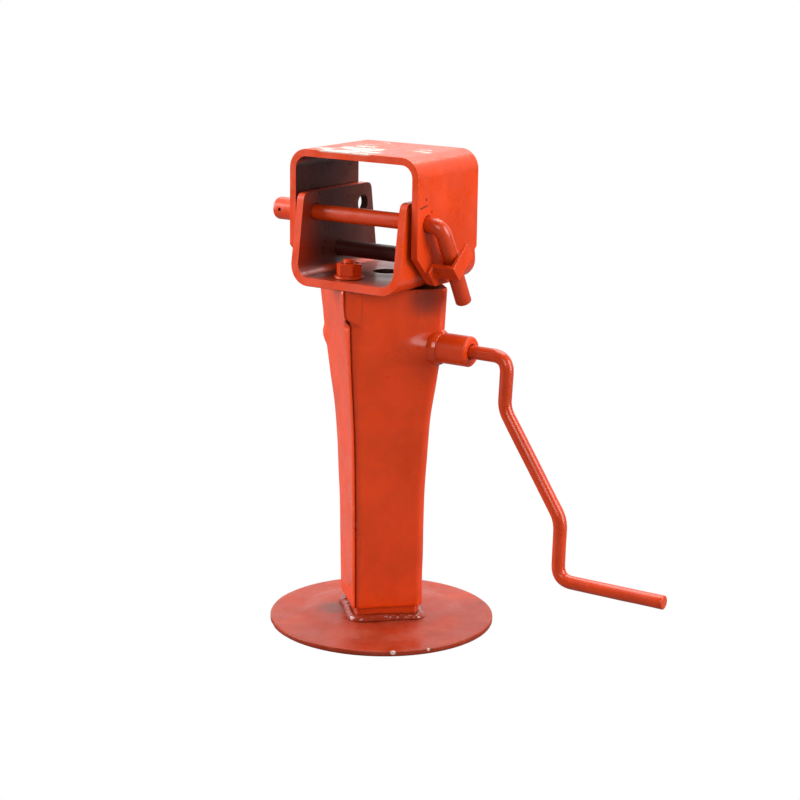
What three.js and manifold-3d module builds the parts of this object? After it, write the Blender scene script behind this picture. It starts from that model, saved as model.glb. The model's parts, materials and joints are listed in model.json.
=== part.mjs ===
// Trailer tongue jack: a square drop leg driven by a side crank through a bevel gear and a lead screw,
// hung from a tilting bracket that swings inside a fixed mounting bracket and locks with a bent pin.
// Millimetres, +Z up. The origin is the middle of the foot's underside. +X is the crank side and the
// direction of both bracket pins; the open front of the brackets faces -Y.
import * as THREE from 'three';
import { mergeVertices } from 'three/addons/utils/BufferGeometryUtils.js';
import Module from 'manifold-3d';

const wasm = await Module();
wasm.setup();

// ---------------------------------------------------------------- driving dimensions
const GAP = 0.3; // clearance kept between touching pieces

const TOTAL_HEIGHT = 423;
const FOOT_RADIUS = 100;
const FOOT_RIM = 5; // thickness at the rim
const FOOT_RISE = 3.5; // height of the raised centre above the rim

const HOUSING_BOTTOM = 20.5;
const HOUSING_TOP = 308;
const HOUSING_WALL = 2.75;
const HOUSING_CORNER = 8; // outer corner radius of the square housing
// height, then the distance from the axis to the housing's left, right, and front and back corners;
// the front and back corners step out at the mouth
const HOUSING_PROFILE = [
  [HOUSING_BOTTOM, 43.6, 41.7, 42], [70, 44.6, 41.8, 42.5], [120, 46.2, 42.8, 43.6],
  [165, 49, 45.2, 45], [194, 52, 48, 47], [220, 56.6, 52.2, 49.5], [240, 60, 55.5, 51.3],
  [272, 65, 60, 53.3], [276, 65.4, 60.3, 53.5], [286, 67, 60.8, 61.5], [HOUSING_TOP, 69.5, 62, 63],
];

const LEG_SIDE = 57.6; // outer width of the sliding inner tube
const LEG_WALL = 3;
const LEG_CORNER = 6;
const LEG_TOP = 212;
const LEG_STROKE = 150; // travel of the foot, given here for the lead screw's length

const SHAFT_HEIGHT = 256.5; // axis of the crank shaft and bevel pinion
const ROD_RADIUS = 6; // crank rod
const BUSH_RADIUS = 13.2;
const BUSH_END = 89; // outer end of the crank bush

const GEAR_TEETH = 20;
const PINION_TEETH = 10;
const GEAR_PITCH = 32; // pitch radius of the crown gear's outer end
const PINION_PITCH = GEAR_PITCH * PINION_TEETH / GEAR_TEETH;

const SCREW_RADIUS = 8;

const MOUNT_HALF_WIDTH = 65.4; // fixed bracket, outside of the ears
const MOUNT_PLATE = 6.3;
const MOUNT_BEND = 17; // outer bend radius
const MOUNT_BOTTOM = 314;
const MOUNT_DEPTH = 94;
const MOUNT_CHAMFER = 26;

const TILT_HALF_WIDTH = 55.8; // tilting bracket, outside of the ears
const TILT_PLATE = 7;
const TILT_BEND = 19;
const TILT_TOP = 385.5;
const TILT_HALF_DEPTH_TOP = 50.5;
const TILT_HALF_DEPTH_FLOOR = 61;
const TILT_CORNER = 6;
const BRACKET_OFFSET = -4; // the brackets sit a little forward of the pivot
const TILT_OFFSET = -2.5;

const PIVOT_HEIGHT = 332.5;
const LOCK_STEP = 35.3; // lock holes lie this far across and above the pivot
const LOCK_HEIGHT = PIVOT_HEIGHT + LOCK_STEP;
const PIN_RADIUS = 7;
const PIN_HOLE_RADIUS = 7.5;

const TILT_FLOOR_BOTTOM = HOUSING_TOP + GAP;
const TILT_FLOOR_TOP = TILT_FLOOR_BOTTOM + TILT_PLATE;
// threaded studs that hold the tilting bracket on the housing, and their nuts and washers
const STUD = {
  x: 9, y: 42.5, radius: 5.9, flange: 6.6, flats: 19, nutHeight: 10.4, washer: 12.5, washerThick: 2.2,
};

// ---------------------------------------------------------------- materials
const finish = (color, roughness, metalness) =>
  new THREE.MeshStandardMaterial({ color, roughness, metalness });
const redPaint = finish(0xdc4a1e, 0.32, 0.1);
const shellPaint = finish(0xe0502a, 0.36, 0.1);
const pinPaint = finish(0xc23d0e, 0.28, 0.15);
const footPaint = finish(0xc4553a, 0.45, 0.1);
const weldPaint = finish(0xd6481c, 0.3, 0.1);
const gearSteel = finish(0x74767a, 0.4, 0.9);
const machinedSteel = finish(0xa2a5a9, 0.3, 0.95);
const bronze = finish(0xb08a4a, 0.4, 0.9);

// ---------------------------------------------------------------- mesh tools
// Merges shared corners and turns the faces outward.
function closed(geometry) {
  const bare = geometry.index ? geometry.toNonIndexed() : geometry.clone();
  bare.deleteAttribute('normal');
  bare.deleteAttribute('uv');
  const merged = mergeVertices(bare, 1e-4);
  const p = merged.attributes.position;
  const corners = [...merged.index.array];
  const kept = [];
  let volume = 0;
  const [a, b, c] = [new THREE.Vector3(), new THREE.Vector3(), new THREE.Vector3()];
  for (let i = 0; i < corners.length; i += 3) {
    const [u, v, w] = corners.slice(i, i + 3);
    if (u === v || v === w || u === w) continue;
    a.fromBufferAttribute(p, u);
    b.fromBufferAttribute(p, v);
    c.fromBufferAttribute(p, w);
    volume += a.dot(b.cross(c));
    kept.push(u, v, w);
  }
  if (volume < 0) {
    for (let i = 0; i < kept.length; i += 3) {
      [kept[i + 1], kept[i + 2]] = [kept[i + 2], kept[i + 1]];
    }
  }
  merged.setIndex(kept);
  return merged;
}

function toManifold(geometry) {
  const g = closed(geometry);
  const vertProperties = new Float32Array(g.attributes.position.array);
  const triVerts = new Uint32Array(g.index.array);
  return new wasm.Manifold(new wasm.Mesh({ numProp: 3, vertProperties, triVerts }));
}

function fromManifold(solid) {
  const mesh = solid.getMesh();
  const geometry = new THREE.BufferGeometry();
  geometry.setAttribute('position', new THREE.BufferAttribute(mesh.vertProperties, 3));
  geometry.setIndex(new THREE.BufferAttribute(mesh.triVerts, 1));
  return geometry;
}

const cut = (geometry, ...tools) =>
  fromManifold(tools.reduce((s, t) => s.subtract(toManifold(t)), toManifold(geometry)));
const join = (geometry, ...others) =>
  fromManifold(others.reduce((s, t) => s.add(toManifold(t)), toManifold(geometry)));
const overlap = (geometry, tool) =>
  fromManifold(toManifold(geometry).intersect(toManifold(tool)));

// Skins a list of equal-length rings of points. A looped list closes into a tube wall;
// an open one is capped at both ends.
function loft(rings, looped = false) {
  const count = rings[0].length;
  const positions = rings.flat().flatMap((q) => [q.x, q.y, q.z]);
  const index = [];
  const last = looped ? rings.length : rings.length - 1;
  for (let i = 0; i < last; i++) {
    const below = i * count;
    const above = ((i + 1) % rings.length) * count;
    for (let j = 0; j < count; j++) {
      const k = (j + 1) % count;
      index.push(below + j, below + k, above + k, below + j, above + k, above + j);
    }
  }
  if (!looped) {
    const flat = rings[0].map((q) => new THREE.Vector2(q.u, q.v));
    const turned = THREE.ShapeUtils.isClockWise(flat);
    const faces = THREE.ShapeUtils.triangulateShape(turned ? flat.slice().reverse() : flat, []);
    const at = (n) => (turned ? count - 1 - n : n);
    const top = (rings.length - 1) * count;
    for (const [r, s, t] of faces) {
      const lift = turned ? [r, s, t] : [r, t, s];
      index.push(...lift.map(at));
      index.push(...lift.slice().reverse().map((n) => top + at(n)));
    }
  }
  const geometry = new THREE.BufferGeometry();
  geometry.setAttribute('position', new THREE.Float32BufferAttribute(positions, 3));
  geometry.setIndex(index);
  return closed(geometry);
}

// A ring of points at height z from an outline in the XY plane.
const ringAt = (outline, z) => outline.map(([x, y]) => ({ x, y, z, u: x, v: y }));

// Revolves [radius, height] points about +Z; the profile starts and ends on the axis, or closes.
function turned(profile, segments = 24) {
  const points = profile.map(([r, z]) => new THREE.Vector2(r, z));
  return closed(new THREE.LatheGeometry(points, segments).rotateX(Math.PI / 2));
}
const ringProfile = (inner, outer, low, high) =>
  [[inner, low], [outer, low], [outer, high], [inner, high], [inner, low]];
const rodProfile = (radius, low, high, chamfer = 0.8) => [
  [0, low], [radius - chamfer, low], [radius, low + chamfer],
  [radius, high - chamfer], [radius - chamfer, high], [0, high],
];
const alongX = (geometry) => geometry.rotateY(Math.PI / 2);

// Extrudes an outline given in (x, z) through y, or in (y, z) through x.
function slabY(shape, low, high) {
  const g = new THREE.ExtrudeGeometry(shape, { depth: high - low, bevelEnabled: false, curveSegments: 7 });
  return closed(g.rotateX(Math.PI / 2).translate(0, high, 0));
}
function slabX(shape, low, high) {
  const g = new THREE.ExtrudeGeometry(shape, { depth: high - low, bevelEnabled: false, curveSegments: 3 });
  return closed(g.rotateY(Math.PI / 2).rotateX(Math.PI / 2).translate(low, 0, 0));
}
const outlineShape = (points) => new THREE.Shape(points.map(([x, y]) => new THREE.Vector2(x, y)));

// A round tool along X or Z for drilling.
const drillX = (radius, low, high, y, z) =>
  alongX(turned([[0, low], [radius, low], [radius, high], [0, high]])).translate(0, y, z);
const drillZ = (radius, low, high, x, y) =>
  turned([[0, low], [radius, low], [radius, high], [0, high]], 20).translate(x, y, 0);

// Sweeps a round section along straight lines and arcs that lie in one plane with the given normal.
function bentRod(path, normal, radius, sides, arcSteps) {
  const stations = [];
  for (const piece of path.curves) {
    const steps = piece.isLineCurve3 ? 1 : arcSteps;
    for (let i = 0; i <= steps; i++) {
      const point = piece.getPoint(i / steps);
      const previous = stations[stations.length - 1];
      if (previous && previous.point.distanceTo(point) < 1e-6) continue;
      stations.push({ point, tangent: piece.getTangent(i / steps) });
    }
  }
  const rings = stations.map(({ point, tangent }) => {
    const side = new THREE.Vector3().crossVectors(tangent, normal).normalize();
    return Array.from({ length: sides }, (_, j) => {
      const angle = (2 * Math.PI * j) / sides;
      const q = point.clone()
        .addScaledVector(normal, radius * Math.cos(angle))
        .addScaledVector(side, radius * Math.sin(angle));
      return { x: q.x, y: q.y, z: q.z, u: Math.cos(angle), v: Math.sin(angle) };
    });
  });
  return loft(rings);
}

// Straight runs between points, joined by smooth bends that start the given distance before a corner.
function bentPath(points, bends) {
  const path = new THREE.CurvePath();
  let from = points[0];
  for (let i = 1; i < points.length - 1; i++) {
    const before = points[i].clone().sub(points[i - 1]).normalize();
    const after = points[i + 1].clone().sub(points[i]).normalize();
    const start = points[i].clone().addScaledVector(before, -bends[i - 1]);
    const end = points[i].clone().addScaledVector(after, bends[i - 1]);
    path.add(new THREE.LineCurve3(from, start));
    path.add(new THREE.QuadraticBezierCurve3(start, points[i], end));
    from = end;
  }
  path.add(new THREE.LineCurve3(from, points[points.length - 1]));
  return path;
}

const jack = new THREE.Group();
const groups = {};
for (const name of ['frame', 'leg', 'screw', 'crank', 'lock']) {
  groups[name] = new THREE.Group();
  jack.add(groups[name]);
}
function add(group, name, geometry, material) {
  const mesh = new THREE.Mesh(closed(geometry), material);
  mesh.name = name;
  groups[group].add(mesh);
  return mesh;
}

// ---------------------------------------------------------------- square tubes set corner to corner
// One rounded corner of a square whose corners lie on the axes; side is 0 for +X, 1 for +Y and so on.
function cornerArc(reach, radius, side, steps = 4, from = -45, to = 45) {
  const middle = reach + radius * (Math.SQRT2 - 1) - radius * Math.SQRT2;
  return Array.from({ length: steps + 1 }, (_, i) => {
    const angle = THREE.MathUtils.degToRad(90 * side + from + ((to - from) * i) / steps);
    const heading = (Math.PI / 2) * side;
    return [
      middle * Math.cos(heading) + radius * Math.cos(angle),
      middle * Math.sin(heading) + radius * Math.sin(angle),
    ];
  });
}
const squareOutline = (reach, radius) =>
  [0, 1, 2, 3].flatMap((side) => cornerArc(reach, radius, side));
// Reach of a square's rounded corners, from its width across flats.
const reachOf = (width, radius) => width * Math.SQRT1_2 - radius * (Math.SQRT2 - 1);

// Corner distances of the housing's outside at a height, moved out by the margin.
function housingReach(z, margin = 0) {
  const above = Math.max(HOUSING_PROFILE.findIndex(([height]) => height >= z), 1);
  const [z0, ...low] = HOUSING_PROFILE[above - 1];
  const [z1, ...high] = HOUSING_PROFILE[above];
  const [left, right, front] =
    low.map((reach, i) => reach + ((high[i] - reach) * (z - z0)) / (z1 - z0) + margin);
  return { left, right, front };
}
// Spreads a regular outline sideways, to the left and right reach on either side of the axis.
const spread = (outline, { left, right, front }) =>
  outline.map(([x, y]) => [x * (x < 0 ? left : right) / front, y]);
const housingOutline = (reach, radius) => spread(squareOutline(reach.front, radius), reach);

// ---------------------------------------------------------------- foot and leg
const FOOT_TOP = FOOT_RIM + FOOT_RISE;
add('leg', 'foot_plate', turned([
  [0, 0], [FOOT_RADIUS - 1, 0], [FOOT_RADIUS, 1], [FOOT_RADIUS, FOOT_RIM - 1],
  [FOOT_RADIUS - 1, FOOT_RIM], [76, FOOT_RIM], [73, FOOT_RIM + 0.6], [60, FOOT_TOP - 0.6],
  [57, FOOT_TOP], [0, FOOT_TOP],
], 56), footPaint);

const legReach = reachOf(LEG_SIDE, LEG_CORNER);
const legFloor = FOOT_TOP + GAP;
function squareTube(reach, corner, wall, low, high) {
  const outer = squareOutline(reach, corner);
  const inner = squareOutline(reach - wall, corner - wall);
  return loft([ringAt(outer, low), ringAt(outer, high), ringAt(inner, high), ringAt(inner, low)], true);
}
add('leg', 'inner_tube', squareTube(legReach, LEG_CORNER, LEG_WALL, legFloor, LEG_TOP), pinPaint);

// Fillet weld round the foot of the leg: [height above the plate, width outside the tube].
const weldSteps = [[0, 7.5], [2.6, 7.9], [5, 6.2], [6.8, 3.8], [8, 0.9]];
const weldInner = squareOutline(legReach + GAP, LEG_CORNER + GAP);
add('leg', 'foot_weld', loft([
  ringAt(weldInner, legFloor),
  ...weldSteps.map(([z, w]) => ringAt(squareOutline(legReach + w, LEG_CORNER + w), legFloor + z)),
  ringAt(weldInner, legFloor + weldSteps[weldSteps.length - 1][0]),
], true), weldPaint);

const NUT_PLATE_THICK = 6;
const NUT_BORE = SCREW_RADIUS + 0.5;
const nutPlateReach = legReach - LEG_WALL - GAP;
const nutPlateLow = LEG_TOP - NUT_PLATE_THICK;
add('leg', 'nut_plate', cut(
  loft([LEG_TOP - NUT_PLATE_THICK, LEG_TOP].map((z) =>
    ringAt(squareOutline(nutPlateReach, LEG_CORNER - LEG_WALL), z))),
  drillZ(NUT_BORE + 0.5, nutPlateLow - 1, LEG_TOP + 1, 0, 0),
), gearSteel);
add('leg', 'drive_nut', turned([
  [NUT_BORE, nutPlateLow - 24], [14, nutPlateLow - 24], [14, nutPlateLow - 6], [19, nutPlateLow - 6],
  [19, nutPlateLow - GAP], [NUT_BORE, nutPlateLow - GAP], [NUT_BORE, nutPlateLow - 24],
]), bronze);

// ---------------------------------------------------------------- housing half shells
// Half of the square wall, cut at the +Y and -Y corners; side is 1 for the right half, -1 for the left.
function shellOutline(z, side) {
  const half = (reach, radius) => spread([
    ...cornerArc(reach.front, radius, 3, 3, 0, 45), ...cornerArc(reach.front, radius, 0),
    ...cornerArc(reach.front, radius, 1, 3, -45, 0),
  ].map(([x, y]) => [side * x, y]), reach).map(([x, y]) => [side * Math.max(side * x, GAP / 2), y]);
  return [
    ...half(housingReach(z), HOUSING_CORNER),
    ...half(housingReach(z, -HOUSING_WALL), HOUSING_CORNER - HOUSING_WALL).reverse(),
  ];
}
const shellWall = (side) => loft(HOUSING_PROFILE.map(([z]) => ringAt(shellOutline(z, side), z)));
// Short relief at the front seam, where the two pressings meet below the flared mouth.
const SEAM_NOTCH = { z: 280, height: 3, width: 1.8 };
const notchTool = () => turned(rodProfile(SEAM_NOTCH.width, -8, 8, 0.4), 12).rotateX(Math.PI / 2)
  .scale(1, 1, SEAM_NOTCH.height / SEAM_NOTCH.width)
  .translate(0, -housingReach(SEAM_NOTCH.z).front, SEAM_NOTCH.z);
// Blind boss pressed into the left corner, in line with the crank shaft.
const leftBoss = alongX(turned([
  [0, -65], [4, -64.6], [8, -62.8], [11, -59.5], [12, -55], [11, -52], [0, -52],
])).translate(0, 0, SHAFT_HEIGHT);
add('frame', 'housing_shell_right',
  cut(shellWall(1), drillX(BUSH_RADIUS + GAP, 30, 80, 0, SHAFT_HEIGHT), notchTool()), shellPaint);
add('frame', 'housing_shell_left', cut(join(shellWall(-1), leftBoss), notchTool()), shellPaint);

// Closing plate flush in the housing's mouth; both bracket studs pass through it.
const TOP_PLATE_THICK = 6;
function plateInHousing(low, high) {
  const inside = housingReach(low, -HOUSING_WALL - GAP);
  return loft([low, high].map((z) =>
    ringAt(housingOutline(inside, HOUSING_CORNER - HOUSING_WALL), z)));
}
const studPlaces = [[-STUD.x, -STUD.y], [STUD.x, STUD.y]];
const studDrills = (low, high) =>
  studPlaces.map(([x, y]) => drillZ(STUD.radius + 0.4, low, high, x, y));
// Grease hole over the gears, through the closing plate and the bracket's floor.
const GREASE_HOLE = { x: -3, y: 6, radius: 12 };
const greaseDrill = drillZ(
  GREASE_HOLE.radius, HOUSING_TOP - 20, TILT_FLOOR_TOP + 5, GREASE_HOLE.x, GREASE_HOLE.y);
add('frame', 'top_plate', cut(
  plateInHousing(HOUSING_TOP - TOP_PLATE_THICK, HOUSING_TOP), greaseDrill,
  ...studDrills(HOUSING_TOP - 20, HOUSING_TOP + 5),
), redPaint);

// ---------------------------------------------------------------- lead screw, bearing and gears
const BEARING_PLATE_LOW = 214;
const BEARING_PLATE_TOP = 220;
add('frame', 'bearing_plate', cut(
  plateInHousing(BEARING_PLATE_LOW, BEARING_PLATE_TOP),
  drillZ(10.5, BEARING_PLATE_LOW - 1, BEARING_PLATE_TOP + 1, 0, 0),
), gearSteel);

const RACE_THICK = 3;
const BALL_RADIUS = 2.6;
const BALL_COUNT = 10;
const RACE = { inner: 9.5, outer: 19, middle: 14.4 };
const lowerRaceLow = BEARING_PLATE_TOP + GAP;
const ballLow = lowerRaceLow + RACE_THICK + GAP;
const upperRaceLow = ballLow + 2 * BALL_RADIUS + GAP;
const gearLow = upperRaceLow + RACE_THICK + GAP;
add('frame', 'lower_race',
  turned(ringProfile(RACE.inner, RACE.outer, lowerRaceLow, lowerRaceLow + RACE_THICK)), machinedSteel);
add('screw', 'upper_race',
  turned(ringProfile(RACE.inner, RACE.outer, upperRaceLow, upperRaceLow + RACE_THICK)), machinedSteel);
const ballHeight = ballLow + BALL_RADIUS;
const balls = Array.from({ length: BALL_COUNT }, (_, i) => {
  const angle = (2 * Math.PI * i) / BALL_COUNT;
  return new THREE.SphereGeometry(BALL_RADIUS, 8, 4).rotateX(Math.PI / 2)
    .translate(RACE.middle * Math.cos(angle), RACE.middle * Math.sin(angle), ballHeight);
});
add('frame', 'ball_cage', join(
  turned(ringProfile(RACE.middle - 3.2, RACE.middle + 3.2, ballHeight - 1, ballHeight + 1)), ...balls,
), machinedSteel);

// Bevel tooth outline for a gear at its outer end; every section is this one scaled to the apex.
function toothOutline(teeth, pitch, addendum, dedendum) {
  const half = Math.PI / teeth; // half of one tooth pitch
  const points = [];
  for (let i = 0; i < teeth; i++) {
    const middle = (2 * Math.PI * i) / teeth;
    const step = (radius, share) => [
      radius * Math.cos(middle + half * share), radius * Math.sin(middle + half * share),
    ];
    points.push(
      step(pitch - dedendum, -0.62), step(pitch + addendum, -0.17),
      step(pitch + addendum, 0.17), step(pitch - dedendum, 0.62),
    );
  }
  return points;
}
const roundOutline = (count, radius) => Array.from({ length: count }, (_, i) => {
  const angle = (2 * Math.PI * (i - 1.5)) / count;
  return [radius * Math.cos(angle), radius * Math.sin(angle)];
});
const scaled = (outline, s) => outline.map(([x, y]) => [x * s, y * s]);

// A bevel gear about +Z with its cone's apex at the origin and its large end at height -pitchHeight.
function bevelGear({ teeth, pitch, pitchHeight, depth, addendum, dedendum, inner, bore, hub }) {
  const teethOutline = toothOutline(teeth, pitch, addendum, dedendum);
  const count = teethOutline.length;
  const rings = [
    ringAt(roundOutline(count, bore), hub.low),
    ringAt(roundOutline(count, hub.radius), hub.low),
    ringAt(roundOutline(count, hub.radius), hub.shoulder),
    ringAt(scaled(teethOutline, hub.backScale), -pitchHeight - depth),
    ringAt(teethOutline, -pitchHeight),
    ringAt(scaled(teethOutline, inner), -pitchHeight * inner),
    ringAt(roundOutline(count, hub.noseRadius), -pitchHeight * inner),
    ringAt(roundOutline(count, hub.noseRadius), hub.nose),
    ringAt(roundOutline(count, bore), hub.nose),
  ];
  return loft(rings, true);
}
const GEAR_CONE = Math.atan(GEAR_TEETH / PINION_TEETH); // half angle of the crown gear's pitch cone
const TOOTH = { addendum: 1.7, dedendum: 2.3 };
const SCREW_SPIGOT = 7;
const GEAR_BORE = SCREW_SPIGOT + GAP;
const gearHub = {
  low: gearLow - SHAFT_HEIGHT, radius: 17, shoulder: gearLow - SHAFT_HEIGHT + 2, backScale: 0.93,
  noseRadius: 11.5, nose: -10.5,
};
const GEAR_PIN_RADIUS = 1.4;
const gearPinHeight = SHAFT_HEIGHT - 13.2;
const alongY = (geometry) => geometry.rotateX(Math.PI / 2);
const gearPinDrill = () =>
  alongY(turned(rodProfile(GEAR_PIN_RADIUS + 0.15, -30, 30, 0.1), 12)).translate(0, 0, gearPinHeight);
const crownGear = bevelGear({
  teeth: GEAR_TEETH, pitch: GEAR_PITCH, pitchHeight: PINION_PITCH, depth: 3.6,
  addendum: TOOTH.addendum / Math.cos(GEAR_CONE), dedendum: TOOTH.dedendum / Math.cos(GEAR_CONE),
  inner: 0.7, bore: GEAR_BORE, hub: gearHub,
}).translate(0, 0, SHAFT_HEIGHT);
add('screw', 'crown_gear', cut(crownGear, gearPinDrill()), gearSteel);
add('screw', 'crown_gear_pin',
  alongY(turned(rodProfile(GEAR_PIN_RADIUS, -11, 11, 0.3), 12)).translate(0, 0, gearPinHeight),
  machinedSteel);

const pinionHub = {
  low: -43, radius: 10.5, shoulder: -38, backScale: 0.9, noseRadius: 9.5, nose: -20.5,
};
const pinion = bevelGear({
  teeth: PINION_TEETH, pitch: PINION_PITCH, pitchHeight: GEAR_PITCH, depth: 3.6,
  addendum: TOOTH.addendum / Math.sin(GEAR_CONE), dedendum: TOOTH.dedendum / Math.sin(GEAR_CONE),
  inner: 0.7, bore: ROD_RADIUS + GAP, hub: pinionHub,
});
// Half a tooth pitch puts a pinion tooth into a gap of the gear.
const PINION_PHASE = Math.PI / PINION_TEETH;
const PIN_X = 40.5; // cross pin through the pinion's hub
const CROSS_PIN = 1.9;
const crossDrill = () => turned(rodProfile(CROSS_PIN + 0.15, -30, 30, 0.1), 16);
add('crank', 'bevel_pinion', cut(
  pinion.rotateZ(PINION_PHASE).rotateY(-Math.PI / 2).translate(0, 0, SHAFT_HEIGHT),
  crossDrill().translate(PIN_X, 0, SHAFT_HEIGHT),
), gearSteel);
add('crank', 'pinion_pin',
  turned(rodProfile(CROSS_PIN, -10, 10, 0.4), 16).translate(PIN_X, 0, SHAFT_HEIGHT), machinedSteel);

const SCREW_LOW = LEG_TOP - LEG_STROKE - 34;
const SCREW_TOP = SHAFT_HEIGHT - ROD_RADIUS - 2;
add('screw', 'lead_screw', cut(turned([
  [0, SCREW_LOW], [SCREW_RADIUS - 2, SCREW_LOW], [SCREW_RADIUS, SCREW_LOW + 2],
  [SCREW_RADIUS, gearLow - GAP], [SCREW_SPIGOT, gearLow - GAP], [SCREW_SPIGOT, SCREW_TOP - 1],
  [SCREW_SPIGOT - 1, SCREW_TOP], [0, SCREW_TOP],
]), gearPinDrill()), machinedSteel);

// ---------------------------------------------------------------- crank
// The rod runs through both bushes and then hangs down beside the housing, in the XZ plane.
const CRANK = {
  inside: -47, elbow: 124.5, dropTo: 212, sweptX: 180, sweptTo: 124, gripHeight: 71, gripEnd: 279,
  firstX: 122.5, kneeX: 179,
};
const crankPoints = [
  [CRANK.inside, SHAFT_HEIGHT], [CRANK.elbow, SHAFT_HEIGHT], [CRANK.firstX, CRANK.dropTo],
  [CRANK.sweptX, CRANK.sweptTo], [CRANK.kneeX, CRANK.gripHeight], [CRANK.gripEnd, CRANK.gripHeight],
].map(([x, z]) => new THREE.Vector3(x, 0, z));
const crankPath = bentPath(crankPoints, [14, 8, 9, 14]);
add('crank', 'crank_handle', cut(
  bentRod(crankPath, new THREE.Vector3(0, 1, 0), ROD_RADIUS, 16, 5),
  crossDrill().translate(PIN_X, 0, SHAFT_HEIGHT),
), pinPaint);

const BUSH_START = 46;
add('frame', 'crank_bush', alongX(turned([
  [ROD_RADIUS + 0.4, BUSH_START], [BUSH_RADIUS, BUSH_START], [BUSH_RADIUS, BUSH_END - 1.6],
  [BUSH_RADIUS - 1.6, BUSH_END], [ROD_RADIUS + 1.2, BUSH_END], [ROD_RADIUS + 0.4, BUSH_END - 0.8],
  [ROD_RADIUS + 0.4, BUSH_START],
], 28)).translate(0, 0, SHAFT_HEIGHT), redPaint);
// Closed bush for the rod's inner end, inside the housing's far corner.
const REAR_BUSH = { radius: 9, end: -50.5, start: -39 };
add('frame', 'rear_bush', alongX(turned([
  [0, REAR_BUSH.end], [REAR_BUSH.radius - 1.5, REAR_BUSH.end], [REAR_BUSH.radius, REAR_BUSH.end + 1.5],
  [REAR_BUSH.radius, REAR_BUSH.start], [ROD_RADIUS + 0.4, REAR_BUSH.start],
  [ROD_RADIUS + 0.4, CRANK.inside - 0.5], [0, CRANK.inside - 0.5],
])).translate(0, 0, SHAFT_HEIGHT), gearSteel);

// Formed and welded collar that carries the housing's corner out to the crank bush.
const housingBlock = (margin, low, high) => {
  const levels = [low, ...HOUSING_PROFILE.map(([z]) => z).filter((z) => z > low && z < high), high];
  return loft(levels.map((z) =>
    ringAt(housingOutline(housingReach(z, margin), HOUSING_CORNER + margin), z)));
};
// [radius, distance along the shaft] of the collar, which spreads over the housing
const weldCollar = alongX(turned([
  [BUSH_RADIUS + GAP, 36], [28.5, 36], [24.5, 42], [21, 49], [18.4, 54.5], [17.2, 57.6], [16, 59.8],
  [BUSH_RADIUS + 1.4, 61.4], [BUSH_RADIUS + GAP, 62.2], [BUSH_RADIUS + GAP, 36],
], 28)).translate(0, 0, SHAFT_HEIGHT);
add('frame', 'bush_weld',
  cut(weldCollar, housingBlock(GAP, SHAFT_HEIGHT - 40, SHAFT_HEIGHT + 40)), weldPaint);

// ---------------------------------------------------------------- brackets
// Section of a bent U plate, open upward: web at the bottom, ears up to the given height.
function channelShape(halfWidth, plate, bend, web, tip) {
  const shape = new THREE.Shape();
  const inner = Math.max(bend - plate, 1);
  shape.moveTo(-halfWidth, tip);
  shape.lineTo(-halfWidth, web + bend);
  shape.absarc(-halfWidth + bend, web + bend, bend, Math.PI, 1.5 * Math.PI, false);
  shape.lineTo(halfWidth - bend, web);
  shape.absarc(halfWidth - bend, web + bend, bend, 1.5 * Math.PI, 2 * Math.PI, false);
  shape.lineTo(halfWidth, tip);
  shape.lineTo(halfWidth - plate, tip);
  shape.lineTo(halfWidth - plate, web + bend);
  shape.absarc(halfWidth - bend, web + bend, inner, 2 * Math.PI, 1.5 * Math.PI, true);
  shape.lineTo(-halfWidth + bend, web + plate);
  shape.absarc(-halfWidth + bend, web + bend, inner, 1.5 * Math.PI, Math.PI, true);
  shape.lineTo(-halfWidth + plate, tip);
  shape.closePath();
  return shape;
}
const pinDrill = (y, z) => drillX(PIN_HOLE_RADIUS, -100, 100, y, z);

const mountFront = BRACKET_OFFSET - MOUNT_DEPTH / 2;
const mountRear = BRACKET_OFFSET + MOUNT_DEPTH / 2;
const mountSide = outlineShape([
  [mountFront, TOTAL_HEIGHT + 1], [mountFront, MOUNT_BOTTOM + MOUNT_CHAMFER],
  [mountFront + MOUNT_CHAMFER - 2, MOUNT_BOTTOM + 2], [mountFront + MOUNT_CHAMFER + 2, MOUNT_BOTTOM],
  [mountRear - MOUNT_CHAMFER - 2, MOUNT_BOTTOM], [mountRear - MOUNT_CHAMFER + 2, MOUNT_BOTTOM + 2],
  [mountRear, MOUNT_BOTTOM + MOUNT_CHAMFER], [mountRear, TOTAL_HEIGHT + 1],
]);
// The mounting bracket is the same channel turned over, so its web is the top.
const mountChannel = slabY(
  channelShape(MOUNT_HALF_WIDTH, MOUNT_PLATE, MOUNT_BEND, -TOTAL_HEIGHT, -MOUNT_BOTTOM),
  -mountRear, -mountFront,
).rotateX(Math.PI);
add('frame', 'mount_bracket', cut(
  overlap(mountChannel, slabX(mountSide, -80, 80)),
  pinDrill(-LOCK_STEP, LOCK_HEIGHT), pinDrill(0, PIVOT_HEIGHT),
), redPaint);

const tiltSide = new THREE.Shape();
const tiltSlope = (TILT_HALF_DEPTH_FLOOR - TILT_HALF_DEPTH_TOP) / (TILT_TOP - TILT_FLOOR_TOP);
const tiltBase = TILT_HALF_DEPTH_FLOOR + tiltSlope * (TILT_PLATE + 1);
const tiltFront = (half) => TILT_OFFSET - half;
const tiltRear = (half) => TILT_OFFSET + half;
tiltSide.moveTo(tiltFront(tiltBase), TILT_FLOOR_BOTTOM - 1);
tiltSide.lineTo(tiltRear(tiltBase), TILT_FLOOR_BOTTOM - 1);
tiltSide.lineTo(tiltRear(TILT_HALF_DEPTH_TOP + tiltSlope * TILT_CORNER), TILT_TOP - TILT_CORNER);
tiltSide.quadraticCurveTo(
  tiltRear(TILT_HALF_DEPTH_TOP), TILT_TOP, tiltRear(TILT_HALF_DEPTH_TOP - TILT_CORNER), TILT_TOP);
tiltSide.lineTo(tiltFront(TILT_HALF_DEPTH_TOP - TILT_CORNER), TILT_TOP);
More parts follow.
